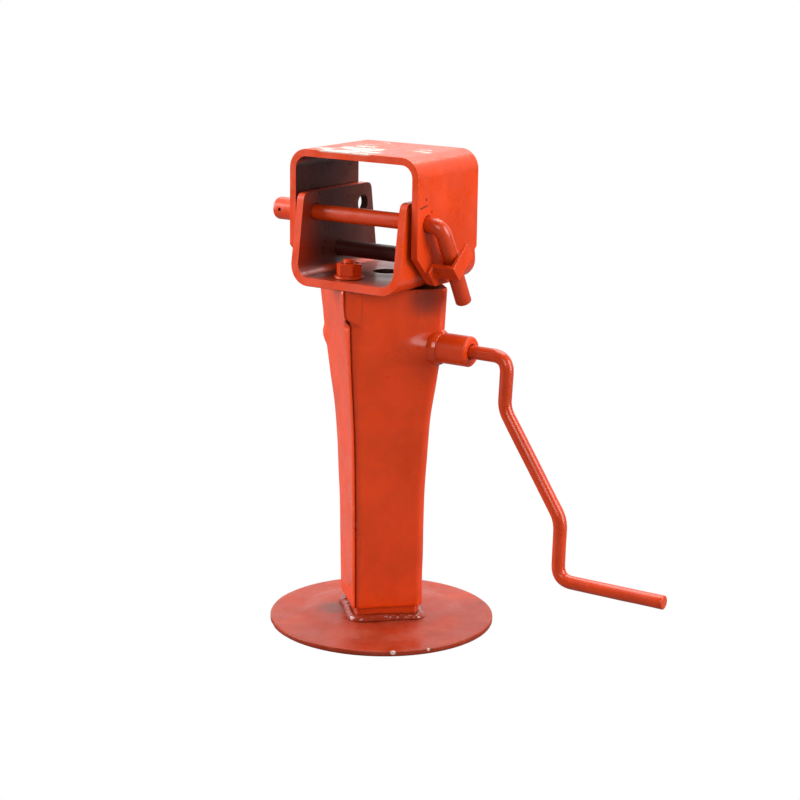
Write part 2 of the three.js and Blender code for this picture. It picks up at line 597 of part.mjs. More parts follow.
tiltSide.quadraticCurveTo(
  tiltFront(TILT_HALF_DEPTH_TOP), TILT_TOP,
  tiltFront(TILT_HALF_DEPTH_TOP + tiltSlope * TILT_CORNER), TILT_TOP - TILT_CORNER);
tiltSide.closePath();
const tiltChannel = slabY(
  channelShape(TILT_HALF_WIDTH, TILT_PLATE, TILT_BEND, TILT_FLOOR_BOTTOM, TILT_TOP), -80, 80);
add('frame', 'tilt_bracket', cut(
  overlap(tiltChannel, slabX(tiltSide, -80, 80)),
  pinDrill(-LOCK_STEP, LOCK_HEIGHT), pinDrill(LOCK_STEP, LOCK_HEIGHT), pinDrill(0, PIVOT_HEIGHT),
  greaseDrill, ...studDrills(TILT_FLOOR_BOTTOM - 5, TILT_FLOOR_TOP + 5),
), redPaint);

// ---------------------------------------------------------------- pivot pin
const outside = MOUNT_HALF_WIDTH + GAP;
const PIVOT = { head: 10.5, headThick: 4.4, tail: 11, washer: 12, washerThick: 2.5 };
const SPLIT_PIN = { x: -outside - 6, radius: 1.4, eye: 2.8, tip: 13 };
add('frame', 'pivot_pin', cut(alongX(turned([
  [0, -outside - PIVOT.tail], [PIN_RADIUS - 1, -outside - PIVOT.tail],
  [PIN_RADIUS, 1 - outside - PIVOT.tail], [PIN_RADIUS, outside], [PIVOT.head, outside],
  [PIVOT.head, outside + PIVOT.headThick - 1.2], [PIVOT.head - 1.2, outside + PIVOT.headThick],
  [0, outside + PIVOT.headThick],
])).translate(0, 0, PIVOT_HEIGHT),
turned(rodProfile(SPLIT_PIN.radius + GAP, -20, 20, 0.1), 12).translate(SPLIT_PIN.x, 0, PIVOT_HEIGHT),
), pinPaint);
add('frame', 'pivot_washer', alongX(turned(
  ringProfile(PIN_RADIUS + GAP, PIVOT.washer, -outside - PIVOT.washerThick, -outside)))
  .translate(0, 0, PIVOT_HEIGHT), machinedSteel);
// Split pin through the tail, its legs bent back towards +Y below the pin.
const splitEye = PIVOT_HEIGHT + PIN_RADIUS + SPLIT_PIN.eye + SPLIT_PIN.radius;
const splitPath = bentPath([
  [0, splitEye - SPLIT_PIN.eye], [0, PIVOT_HEIGHT - PIN_RADIUS - 3], [7, PIVOT_HEIGHT - SPLIT_PIN.tip],
].map(([y, z]) => new THREE.Vector3(SPLIT_PIN.x, y, z)), [2.5]);
add('frame', 'pivot_split_pin', join(
  bentRod(splitPath, new THREE.Vector3(1, 0, 0), SPLIT_PIN.radius, 10, 4),
  new THREE.TorusGeometry(SPLIT_PIN.eye, SPLIT_PIN.radius - 0.2, 8, 14).rotateY(Math.PI / 2)
    .translate(SPLIT_PIN.x, 0, splitEye),
), machinedSteel);

// ---------------------------------------------------------------- lock pin, its guide and its keeper
const LOCK_HANDLE_X = 78.3;
const LOCK_HANDLE_LENGTH = 79;
const LOCK_HANDLE_ANGLE = THREE.MathUtils.degToRad(28.5); // behind straight down
const lockAxis = new THREE.Vector3(0, -LOCK_STEP, LOCK_HEIGHT);
const handleAlong = new THREE.Vector3(
  0, Math.sin(LOCK_HANDLE_ANGLE), -Math.cos(LOCK_HANDLE_ANGLE));
const handleNormal = new THREE.Vector3(1, 0, 0).cross(handleAlong);
const elbow = lockAxis.clone().setX(LOCK_HANDLE_X);
const lockPath = bentPath([
  lockAxis.clone().setX(-84), elbow, elbow.clone().addScaledVector(handleAlong, LOCK_HANDLE_LENGTH),
], [12]);
add('lock', 'lock_pin', bentRod(lockPath, handleNormal, PIN_RADIUS, 20, 6), pinPaint);

const GUIDE = { radius: 9.8, end: -89.5, floor: -86.5, ventX: -81 };
const guideStart = -outside;
const guideTube = alongX(turned([
  [0, GUIDE.end], [GUIDE.radius - 3, GUIDE.end], [GUIDE.radius - 0.8, GUIDE.end + 1],
  [GUIDE.radius, GUIDE.end + 3], [GUIDE.radius, guideStart], [PIN_HOLE_RADIUS, guideStart],
  [PIN_HOLE_RADIUS, GUIDE.floor], [0, GUIDE.floor],
])).translate(0, -LOCK_STEP, LOCK_HEIGHT);
// Vent hole in the front of the sleeve.
const ventDrill = alongY(turned(rodProfile(1.5, 0, GUIDE.radius + 5, 0.1), 12))
  .translate(GUIDE.ventX, -LOCK_STEP, LOCK_HEIGHT);
add('frame', 'lock_pin_guide', cut(guideTube, ventDrill), redPaint);

// Z-shaped strip welded to the right ear; the lock pin's handle lies between it and the ear.
const KEEPER = { thick: 3.2, half: 7.6, foot: 9.5, reach: 88.9, arm: 27, y: -26, z: 327.5 };
const KEEPER_ANGLE = THREE.MathUtils.degToRad(41);
const keeperShape = outlineShape([
  [-KEEPER.foot, outside], [KEEPER.thick / 2, outside],
  [KEEPER.thick / 2, KEEPER.reach - KEEPER.thick], [KEEPER.arm, KEEPER.reach - KEEPER.thick],
  [KEEPER.arm, KEEPER.reach], [-KEEPER.thick / 2, KEEPER.reach],
  [-KEEPER.thick / 2, outside + KEEPER.thick], [-KEEPER.foot, outside + KEEPER.thick],
]);
const keeper = closed(new THREE.ExtrudeGeometry(keeperShape, { depth: 2 * KEEPER.half, bevelEnabled: false })
  .translate(0, 0, -KEEPER.half));
// shape x runs up and back along the ear, shape y runs out along +X, depth runs down and back
keeper.applyMatrix4(new THREE.Matrix4().makeBasis(
  new THREE.Vector3(0, Math.cos(KEEPER_ANGLE), Math.sin(KEEPER_ANGLE)),
  new THREE.Vector3(1, 0, 0),
  new THREE.Vector3(0, Math.sin(KEEPER_ANGLE), -Math.cos(KEEPER_ANGLE)),
).setPosition(0, KEEPER.y, KEEPER.z));
add('frame', 'pin_keeper', keeper, redPaint);

// ---------------------------------------------------------------- bracket studs
const studNames = ['front', 'rear'];
studPlaces.forEach(([x, y], i) => {
  const flangeTop = HOUSING_TOP - TOP_PLATE_THICK - GAP;
  const washerLow = TILT_FLOOR_TOP + GAP;
  const washerTop = washerLow + STUD.washerThick;
  const nutLow = washerTop + GAP;
  const nutTop = nutLow + STUD.nutHeight;
  const tip = nutTop + 3.4;
  add('frame', `stud_${studNames[i]}`, turned([
    [0, flangeTop - 5], [STUD.flange, flangeTop - 5], [STUD.flange, flangeTop],
    [STUD.radius, flangeTop], [STUD.radius, tip - 1], [STUD.radius - 1, tip], [0, tip],
  ], 18).translate(x, y, 0), machinedSteel);
  add('frame', `stud_washer_${studNames[i]}`, turned(
    ringProfile(STUD.radius + GAP, STUD.washer, washerLow, washerTop)).translate(x, y, 0), redPaint);
  const corner = STUD.flats / Math.sqrt(3);
  const hexBlock = new THREE.CylinderGeometry(corner, corner, STUD.nutHeight, 6)
    .rotateX(Math.PI / 2).rotateZ(-0.17).translate(x, y, nutLow + STUD.nutHeight / 2);
  const rounding = turned([
    [0, nutLow], [corner - 0.9, nutLow], [corner + 0.2, nutLow + 0.7], [corner + 0.2, nutTop - 1.2],
    [corner - 1.6, nutTop], [0, nutTop],
  ], 30).translate(x, y, 0);
  add('frame', `stud_nut_${studNames[i]}`, cut(
    overlap(hexBlock, rounding), drillZ(STUD.radius + GAP, nutLow - 1, nutTop + 1, x, y)), redPaint);
});

export default jack;
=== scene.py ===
"""Looks for a painted trailer tongue jack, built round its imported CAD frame. Metres, +Z up."""
import json
import math

import bpy
from mathutils import Matrix, Vector, noise

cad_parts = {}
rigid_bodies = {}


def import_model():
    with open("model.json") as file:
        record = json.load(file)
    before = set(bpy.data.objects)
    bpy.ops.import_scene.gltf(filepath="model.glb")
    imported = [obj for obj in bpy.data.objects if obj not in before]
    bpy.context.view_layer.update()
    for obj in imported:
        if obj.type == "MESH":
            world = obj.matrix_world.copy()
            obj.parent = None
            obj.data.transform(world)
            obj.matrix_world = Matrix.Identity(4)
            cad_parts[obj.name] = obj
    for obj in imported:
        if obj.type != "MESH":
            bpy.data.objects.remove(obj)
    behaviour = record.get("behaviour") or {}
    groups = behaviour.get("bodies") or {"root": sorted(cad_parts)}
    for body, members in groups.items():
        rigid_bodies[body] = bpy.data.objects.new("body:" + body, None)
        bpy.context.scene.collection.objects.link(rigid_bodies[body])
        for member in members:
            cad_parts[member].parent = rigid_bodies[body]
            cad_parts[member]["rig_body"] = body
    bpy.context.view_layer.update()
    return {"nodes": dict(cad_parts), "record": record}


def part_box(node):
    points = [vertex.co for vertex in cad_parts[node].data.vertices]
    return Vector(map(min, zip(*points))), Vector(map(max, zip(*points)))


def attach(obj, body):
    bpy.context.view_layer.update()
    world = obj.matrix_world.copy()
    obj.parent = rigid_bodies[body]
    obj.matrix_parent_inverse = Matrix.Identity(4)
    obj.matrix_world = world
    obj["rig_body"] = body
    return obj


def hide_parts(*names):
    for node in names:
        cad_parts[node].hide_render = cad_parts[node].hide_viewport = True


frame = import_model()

NODES = frame["nodes"]
MM = 0.001
SEED = Vector((3.1, 7.7, 1.9))  # shifts every noise field, so that none is centred on the object


def middle(node):
    low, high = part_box(node)
    return (low + high) / 2


SHAFT_HEIGHT = middle("crank_bush").z
PIVOT_HEIGHT = middle("pivot_pin").z
LOCK_BORE = middle("lock_pin_guide")  # on the lock pin's axis
BRACKET_SIDE, BRACKET_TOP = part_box("mount_bracket")[1].x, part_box("mount_bracket")[1].z
TILT_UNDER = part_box("tilt_bracket")[0].z  # underside of the tilting bracket's floor
TILT_PLATE = 7 * MM


# ---------------------------------------------------------------- camera, floor and lights
CAMERA = {
    "azimuth": 33.34, "elevation": 13.59, "roll": 0.82, "distance": 1.76694,
    "lens": 90.43, "sensor": 36.0, "aim_side": 0.01397, "aim_height": 0.20167,
}


def make_camera():
    a, e, r = (math.radians(CAMERA[k]) for k in ("azimuth", "elevation", "roll"))
    back = Vector((math.sin(a) * math.cos(e), -math.cos(a) * math.cos(e), math.sin(e)))
    level = Vector((math.cos(a), math.sin(a), 0))
    upright = back.cross(level)
    right = level * math.cos(r) + upright * math.sin(r)
    up = upright * math.cos(r) - level * math.sin(r)
    aim = right * CAMERA["aim_side"] + Vector((0, 0, CAMERA["aim_height"]))
    data = bpy.data.cameras.new("camera")
    data.lens, data.sensor_width = CAMERA["lens"], CAMERA["sensor"]
    data.clip_start, data.clip_end = 0.05, 50
    camera = bpy.data.objects.new("camera", data)
    matrix = Matrix((right, up, back)).transposed().to_4x4()
    matrix.translation = aim + back * CAMERA["distance"]
    camera.matrix_world = matrix
    bpy.context.scene.collection.objects.link(camera)
    bpy.context.scene.camera = camera


LIGHT_AIM = Vector((0, 0, 0.22))
LIGHTS = {  # place, size and watts
    "left_softbox": ((-1.35, -0.75, 0.75), (0.9, 1.3), 34),
    "right_softbox": ((1.5, 0.35, 0.7), (0.8, 1.2), 27),
    "front_fill": ((0.9, -1.6, 0.9), (0.8, 0.8), 13),
    "top_softbox": ((-0.2, 0.5, 1.5), (1.3, 1.3), 26),
}
BRIGHT_SIDE = Vector((-0.62, 0.66, 0.42)).normalized()  # where the room is brightest
ROOM = {"From Min": -0.15, "From Max": 0.75, "To Min": 0.05, "To Max": 0.95}  # facing that side to brightness


def area_light(name, place, size, watts):
    data = bpy.data.lights.new(name, "AREA")
    data.shape, data.size, data.size_y = "RECTANGLE", size[0], size[1]
    data.energy = watts
    lamp = bpy.data.objects.new(name, data)
    lamp.location = place
    lamp.rotation_mode = "QUATERNION"
    lamp.rotation_quaternion = (Vector(place) - LIGHT_AIM).to_track_quat("Z", "Y")
    bpy.context.scene.collection.objects.link(lamp)


def make_studio():
    """Four softboxes in a room that is bright behind, above and to the left, and dim on the camera's side."""
    world = bpy.data.worlds.new("studio")
    bpy.context.scene.world = world
    world.use_nodes = True
    tree = world.node_tree
    link, new = tree.links.new, tree.nodes.new
    background = tree.nodes["Background"]
    background.inputs["Color"].default_value = (1, 1, 1, 1)
    heading = new("ShaderNodeTexCoord")
    facing = new("ShaderNodeVectorMath")
    facing.operation = "DOT_PRODUCT"
    facing.inputs[1].default_value = BRIGHT_SIDE
    ramp = new("ShaderNodeMapRange")
    ramp.interpolation_type = "SMOOTHSTEP"
    for socket, number in ROOM.items():
        ramp.inputs[socket].default_value = number
    path = new("ShaderNodeLightPath")
    seen = new("ShaderNodeMix")
    seen.data_type = "FLOAT"
    seen.inputs[3].default_value = 1.0
    link(heading.outputs["Generated"], facing.inputs[0])
    link(facing.outputs["Value"], ramp.inputs["Value"])
    link(path.outputs["Is Camera Ray"], seen.inputs[0])
    link(ramp.outputs["Result"], seen.inputs[2])
    link(seen.outputs[0], background.inputs["Strength"])
    for name, (place, size, watts) in LIGHTS.items():
        area_light(name, place, size, watts)
    bpy.context.scene.view_settings.view_transform = "Standard"


FLOOR_HALF = 4.0
FLOOR_GREY = (0.16, 0.16, 0.16)  # what the object sees of the floor


def make_floor():
    """White paper that reads as evenly lit, so that it runs into the white background."""
    mesh = bpy.data.meshes.new("floor")
    corners = [(x * FLOOR_HALF, y * FLOOR_HALF, 0) for x, y in ((-1, -1), (1, -1), (1, 1), (-1, 1))]
    mesh.from_pydata(corners, [], [(0, 1, 2, 3)])
    floor = bpy.data.objects.new("floor", mesh)
    bpy.context.scene.collection.objects.link(floor)
    material = bpy.data.materials.new("floor_paper")
    material.use_nodes = True
    tree = material.node_tree
    shader = tree.nodes["Principled BSDF"]
    shader.inputs["Base Color"].default_value = (*FLOOR_GREY, 1)
    shader.inputs["Roughness"].default_value = 0.9
    shader.inputs["Specular IOR Level"].default_value = 0.1
    glow = tree.nodes.new("ShaderNodeEmission")
    path = tree.nodes.new("ShaderNodeLightPath")
    blend = tree.nodes.new("ShaderNodeMixShader")
    tree.links.new(path.outputs["Is Camera Ray"], blend.inputs[0])
    tree.links.new(shader.outputs[0], blend.inputs[1])
    tree.links.new(glow.outputs[0], blend.inputs[2])
    tree.links.new(blend.outputs[0], tree.nodes["Material Output"].inputs["Surface"])
    mesh.materials.append(material)


# ---------------------------------------------------------------- material nodes
class Tree:
    """A material's node tree, with short calls for the nodes that the finishes share."""

    def __init__(self, name):
        self.material = bpy.data.materials.new(name)
        self.material.use_nodes = True
        self.nodes = self.material.node_tree.nodes
        self.link = self.material.node_tree.links.new
        self.shader = self.nodes["Principled BSDF"]
        coordinates = self.nodes.new("ShaderNodeTexCoord")
        self.place, self.facing = coordinates.outputs["Object"], coordinates.outputs["Normal"]

    def put(self, socket, value):
        if isinstance(value, bpy.types.NodeSocket):
            self.link(value, socket)
        elif isinstance(value, (tuple, list, Vector)) and len(value) == 3 and socket.type == "RGBA":
            socket.default_value = (*value, 1)
        else:
            socket.default_value = value

    def stretched(self, scale):
        node = self.nodes.new("ShaderNodeMapping")
        self.put(node.inputs["Vector"], self.place)
        node.inputs["Scale"].default_value = scale
        return node.outputs["Vector"]

    def noise(self, scale, detail=3.0, rough=0.55, place=None, distortion=0.0):
        node = self.nodes.new("ShaderNodeTexNoise")
        self.put(node.inputs["Vector"], place or self.place)
        node.inputs["Scale"].default_value = scale
        node.inputs["Detail"].default_value = detail
        node.inputs["Roughness"].default_value = rough
        node.inputs["Distortion"].default_value = distortion
        return node.outputs["Fac"]

    def cells(self, scale):
        node = self.nodes.new("ShaderNodeTexVoronoi")
        self.put(node.inputs["Vector"], self.place)
        node.inputs["Scale"].default_value = scale
        return node.outputs["Distance"]

    def math(self, operation, first, second=None):
        node = self.nodes.new("ShaderNodeMath")
        node.operation = operation
        self.put(node.inputs[0], first)
        if second is not None:
            self.put(node.inputs[1], second)
        return node.outputs[0]

    def step(self, value, low, high, to_low=0.0, to_high=1.0):
        node = self.nodes.new("ShaderNodeMapRange")
        node.interpolation_type = "SMOOTHSTEP"
        self.put(node.inputs["Value"], value)
        limits = {"From Min": low, "From Max": high, "To Min": to_low, "To Max": to_high}
        for name, number in limits.items():
            node.inputs[name].default_value = number
        return node.outputs["Result"]

    def mix(self, factor, first, second):
        node = self.nodes.new("ShaderNodeMix")
        node.data_type = "RGBA"
        self.put(node.inputs[0], factor)
        self.put(node.inputs[6], first)
        self.put(node.inputs[7], second)
        return node.outputs[2]

    def axis(self, name, source=None):
        node = self.nodes.new("ShaderNodeSeparateXYZ")
        self.put(node.inputs[0], source or self.place)
        return node.outputs[name]

    def edges(self, radius):
        """1 along corners of the mesh and 0 on its flats."""
        bevel = self.nodes.new("ShaderNodeBevel")
        bevel.samples = 4
        bevel.inputs["Radius"].default_value = radius
        facing = self.nodes.new("ShaderNodeNewGeometry")
        node = self.nodes.new("ShaderNodeVectorMath")
        node.operation = "DOT_PRODUCT"
        self.link(bevel.outputs["Normal"], node.inputs[0])
        self.link(facing.outputs["True Normal"], node.inputs[1])
        return self.step(node.outputs["Value"], 0.985, 0.86)

    def hidden(self, distance):
        """1 deep in corners and crevices and 0 in the open."""
        node = self.nodes.new("ShaderNodeAmbientOcclusion")
        node.samples = 6
        node.inputs["Distance"].default_value = distance
        return self.step(node.outputs["AO"], 0.75, 0.12)

    def near(self, centre, radius, feather):
        """1 within radius of a point, fading to 0 over feather."""
        node = self.nodes.new("ShaderNodeVectorMath")
        node.operation = "DISTANCE"
        self.put(node.inputs[0], self.place)
        node.inputs[1].default_value = centre
        return self.step(node.outputs["Value"], radius + feather, radius)

    def scratch(self, start, end, width, wobble=0.0012):
        """1 on a thin wavering line between two points."""
        start, end = Vector(start), Vector(end)
        along = (end - start).normalized()
        shifted = self.nodes.new("ShaderNodeVectorMath")
        shifted.operation = "SUBTRACT"
        self.put(shifted.inputs[0], self.place)
        shifted.inputs[1].default_value = start
        run = self.nodes.new("ShaderNodeVectorMath")
        run.operation = "DOT_PRODUCT"
        self.link(shifted.outputs[0], run.inputs[0])
        run.inputs[1].default_value = along
        foot = self.nodes.new("ShaderNodeVectorMath")
        foot.operation = "SCALE"
        foot.inputs[0].default_value = along
        self.link(run.outputs["Value"], foot.inputs["Scale"])
        away = self.nodes.new("ShaderNodeVectorMath")
        away.operation = "DISTANCE"
        self.link(shifted.outputs[0], away.inputs[0])
        self.link(foot.outputs[0], away.inputs[1])
        waver = self.math("MULTIPLY", self.math("SUBTRACT", self.noise(160), 0.5), 2 * wobble)
        off = self.math("ABSOLUTE", self.math("ADD", away.outputs["Value"], waver))
        line = self.step(off, width, width * 0.4)
        length = (end - start).length
        begun = self.step(run.outputs["Value"], -0.001, 0.002)
        not_over = self.step(run.outputs["Value"], length + 0.001, length - 0.002)
        return self.both(line, begun, not_over)

    def bump(self, height, distance, strength, onto=None):
        node = self.nodes.new("ShaderNodeBump")
        node.inputs["Strength"].default_value = strength
        node.inputs["Distance"].default_value = distance
        self.put(node.inputs["Height"], height)
        if onto is not None:
            self.link(onto, node.inputs["Normal"])
        return node.outputs["Normal"]

    def joined(self, operation, masks):
        result = masks[0]
        for mask in masks[1:]:
            result = self.math(operation, result, mask)
        return result

    def most(self, *masks):
        return self.joined("MAXIMUM", masks)

    def both(self, *masks):
        return self.joined("MULTIPLY", masks)


# ---------------------------------------------------------------- paint
BRACKET_RED, HOUSING_RED = (0.7, 0.047, 0.0015), (0.74, 0.05, 0.0015)
ROD_RED, FOOT_RED = (0.58, 0.04, 0.002), (0.34, 0.028, 0.006)
WELD_RED, CLEAN_WELD_RED = (0.3, 0.026, 0.006), (0.62, 0.045, 0.003)
PRIMER = (0.62, 0.5, 0.44)  # what a fresh chip shows
# near black: dirt specks and pits, and the painted shade over the grease hole
SOOT_AND_SHADE = (0.035, 0.008, 0.006)
COAT_ROUGHNESS = 0.14


def enamel(name, colour, roughness, coat, dirt_and_shade, peel, marks, wear=0.6, edge=1.1, shine=0.32):
    """Enamel over rolled plate, with uneven tone, orange peel, painted shade in crevices and chipped edges
    that are paler, partly as a painted highlight.

    marks adds what belongs to one place. edge is how wide worn edges are, in millimetres.
    """
    t = Tree(name)
    deep = tuple(c * 0.82 for c in colour)
    pale = (min(colour[0] * 1.1, 1), colour[1] * 1.35, colour[2] * 1.8)
    tone = t.mix(t.step(t.noise(26, 4), 0.3, 0.72), deep, colour)
    tone = t.mix(t.both(t.step(t.noise(75, 5, 0.6), 0.52, 0.75), 0.35), tone, pale)
    edges = t.edges(edge * MM) if edge else 0.0
    # edges paler: paint worn thin there, and a painted highlight along them
    tone = t.mix(t.both(edges, 0.4), tone, pale)
    # painted shade: the paint darkens in crevices and corners, where shade falls
    tone = t.mix(t.both(t.hidden(9 * MM), dirt_and_shade), tone, tuple(c * 0.25 for c in colour))
    specks = t.both(t.step(t.cells(210), 0.09, 0.05), t.step(t.noise(30, 2), 0.6, 0.7))
    tone = t.mix(t.both(specks, 0.8 * dirt_and_shade), tone, SOOT_AND_SHADE)
    chips = t.both(edges, t.step(t.noise(230, 4, 0.6), 0.72 - 0.1 * wear, 0.76 - 0.1 * wear))
    chips = t.both(chips, t.step(t.noise(34, 2), 0.5, 0.62))
    rough = t.step(t.noise(55, 4), 0.3, 0.75, roughness * 0.75, roughness * 1.35)
    grain = t.math("ADD", t.both(t.noise(700, 2), 0.35), t.noise(210, 3))
    normal = t.bump(t.noise(38, 3), 1.6 * MM, 0.35 * peel)
    normal = t.bump(grain, 0.16 * MM, 0.8 * peel, normal)
    tone, chips, rough, normal = marks(t, tone, chips, rough, normal)
    tone = t.mix(chips, tone, PRIMER)
    rough = t.most(rough, t.both(chips, 0.7))
    t.put(t.shader.inputs["Base Color"], tone)
    t.put(t.shader.inputs["Roughness"], rough)
    t.link(t.bump(t.math("SUBTRACT", 1.0, chips), 0.12 * MM, 0.8, normal), t.shader.inputs["Normal"])
    t.shader.inputs["Specular IOR Level"].default_value = shine
    t.shader.inputs["Coat Weight"].default_value = coat
    t.shader.inputs["Coat Roughness"].default_value = COAT_ROUGHNESS
    return t.material


def bare_metal(name, colour, roughness, turned=False):
    """Turned or pressed metal with fine tool marks and an oily film."""
    t = Tree(name)
    film = t.step(t.noise(60, 5), 0.35, 0.7)
    t.put(t.shader.inputs["Base Color"], t.mix(film, tuple(c * 0.6 for c in colour), colour))
    t.put(t.shader.inputs["Roughness"], t.step(t.noise(90, 4), 0.3, 0.7, roughness * 0.7, roughness * 1.4))
    marks = t.noise(240, 3, 0.6, t.stretched((1, 1, 9 if turned else 1)))
    t.link(t.bump(marks, 0.12 * MM, 0.6), t.shader.inputs["Normal"])
    t.shader.inputs["Metallic"].default_value = 1.0
    return t.material


# Marks that belong to one place on the object. Each function changes the paint's tone, chips, roughness
# and bump.
HOUSING_SCRATCHES = [
    ((0.0195, -0.0300, 0.1585), (0.0300, -0.0195, 0.1625), 0.0005),
    ((0.0330, -0.0160, 0.1300), (0.0385, -0.0105, 0.1275), 0.0005),
    ((0.0230, -0.0270, 0.1490), (0.0245, -0.0250, 0.1620), 0.0004),
]
LOW_END, LOW_CHIPS_END = 0.05, 0.19  # heights between which the chips on the seam fade out
RUNS_START, RUNS_END = 0.303, 0.272  # heights between which the runs fade out
# painted shade in the seam groove
SEAM_SHADE = (0.2, 0.012, 0.002)
RUN_DIRT = (0.12, 0.03, 0.022)
# painted shadow on the housing under the bracket's right side
CORNER_SHADOW, CORNER_SHADOW_PLACE = (0.09, 0.02, 0.015), (0.050, -0.014, 0.299)  # under the bracket's right side
STREAK_RED = (0.8, 0.11, 0.02)


def housing_marks(t, tone, chips, rough, normal):
    """Painted shade in the seam groove, chips low down, paint runs, a painted shadow under the bracket and a
    few scratches.
    """
    x, height = t.axis("X"), t.axis("Z")
    front = t.step(t.axis("Y"), -0.03, -0.04)
    beside = t.both(t.step(x, -0.1 * MM, 0.1 * MM), t.step(x, 2.0 * MM, 0.7 * MM))
    # painted shade along the seam groove at the front
    tone = t.mix(t.both(beside, front, 0.4), tone, SEAM_SHADE)
    on_seam = t.step(t.math("ABSOLUTE", x), 2.6 * MM, 1.2 * MM)
    low_down = t.step(height, LOW_CHIPS_END, LOW_END)
    seam_chips = t.both(on_seam, t.step(t.noise(170, 4, 0.65), 0.64, 0.67), front, low_down)
    runs = t.step(t.noise(120, 3, 0.5, t.stretched((1, 1, 0.16))), 0.45, 0.7)
    right_of_seam = t.both(t.step(x, 0, 3 * MM), t.step(x, 34 * MM, 12 * MM))
    runs = t.both(runs, t.step(height, RUNS_END, RUNS_START), right_of_seam)
    tone = t.mix(t.both(runs, 0.75), tone, RUN_DIRT)
    # painted shadow under the bracket's right side
    tone = t.mix(t.both(t.near(CORNER_SHADOW_PLACE, 3 * MM, 19 * MM), 0.72), tone, CORNER_SHADOW)
    normal = t.bump(runs, 0.5 * MM, 0.7, normal)
    streaks = t.noise(90, 3, 0.5, t.stretched((1, 1, 0.08)))
    tone = t.mix(t.both(t.step(streaks, 0.56, 0.8), 0.15), tone, STREAK_RED)
    lines = [t.scratch(start, end, width) for start, end, width in HOUSING_SCRATCHES]
    return tone, t.most(chips, seam_chips, *lines), rough, normal


FOOT_DARK_PATCH = (-0.036, -0.023, 0.0085)  # beside the leg
FOOT_WORN = (0.0645, 0.0664, 0.006)
RIM_CHIPS = [((0.064, -0.077, 0.004), 1.5 * MM), ((0.085, -0.053, 0.004), 1 * MM)]  # place and size
PATCH_BROWN, DUST, SWIRL = (0.09, 0.05, 0.045), (0.5, 0.12, 0.07), (0.34, 0.07, 0.04)


def foot_marks(t, tone, chips, rough, normal):
    """A dark patch beside the leg, a worn patch behind it, dust, scuffing and two chips on the rim."""
    dark_patch = t.both(t.near(FOOT_DARK_PATCH, 0.006, 0.014), t.step(t.noise(110, 5), 0.35, 0.55))
    worn = t.both(t.near(FOOT_WORN, 0.008, 0.012), t.step(t.noise(90, 5), 0.45, 0.7), 0.6)
    tone = t.mix(t.both(t.most(dark_patch, worn), 0.8), tone, PATCH_BROWN)
    rim_chips = t.most(*(t.near(place, size, size) for place, size in RIM_CHIPS))
    rim_chips = t.both(rim_chips, t.step(t.noise(400, 3), 0.4, 0.5))
    dust = t.step(t.noise(46, 6, 0.65), 0.42, 0.75)
    tone = t.mix(t.both(dust, 0.25), tone, DUST)
    swirl = t.noise(14, 6, 0.7, distortion=1.6)
    tone = t.mix(t.both(t.step(swirl, 0.5, 0.66), 0.25), tone, SWIRL)
    rough = t.math("ADD", rough, t.both(dust, 0.15))
    return tone, t.most(chips, rim_chips), rough, normal


SCUFF_AND_HIGHLIGHT_PLACE = (-0.012, -0.030, BRACKET_TOP)
PITS = [((BRACKET_SIDE, -0.0385, 0.3885), 0.7 * MM), ((BRACKET_SIDE, -0.0300, 0.3775), 0.6 * MM)]
GOUGE = ((BRACKET_SIDE, -0.0480, 0.3815), (BRACKET_SIDE, -0.0360, 0.3835))
REAR_LOCK_HOLE = (-0.0523, -LOCK_BORE.y, LOCK_BORE.z)
GREASE_HOLE = (-0.003, 0.006, 0.312)
# painted shade for the surfaces between and under the ears
INNER_SHADE = (0.05, 0.017, 0.013)


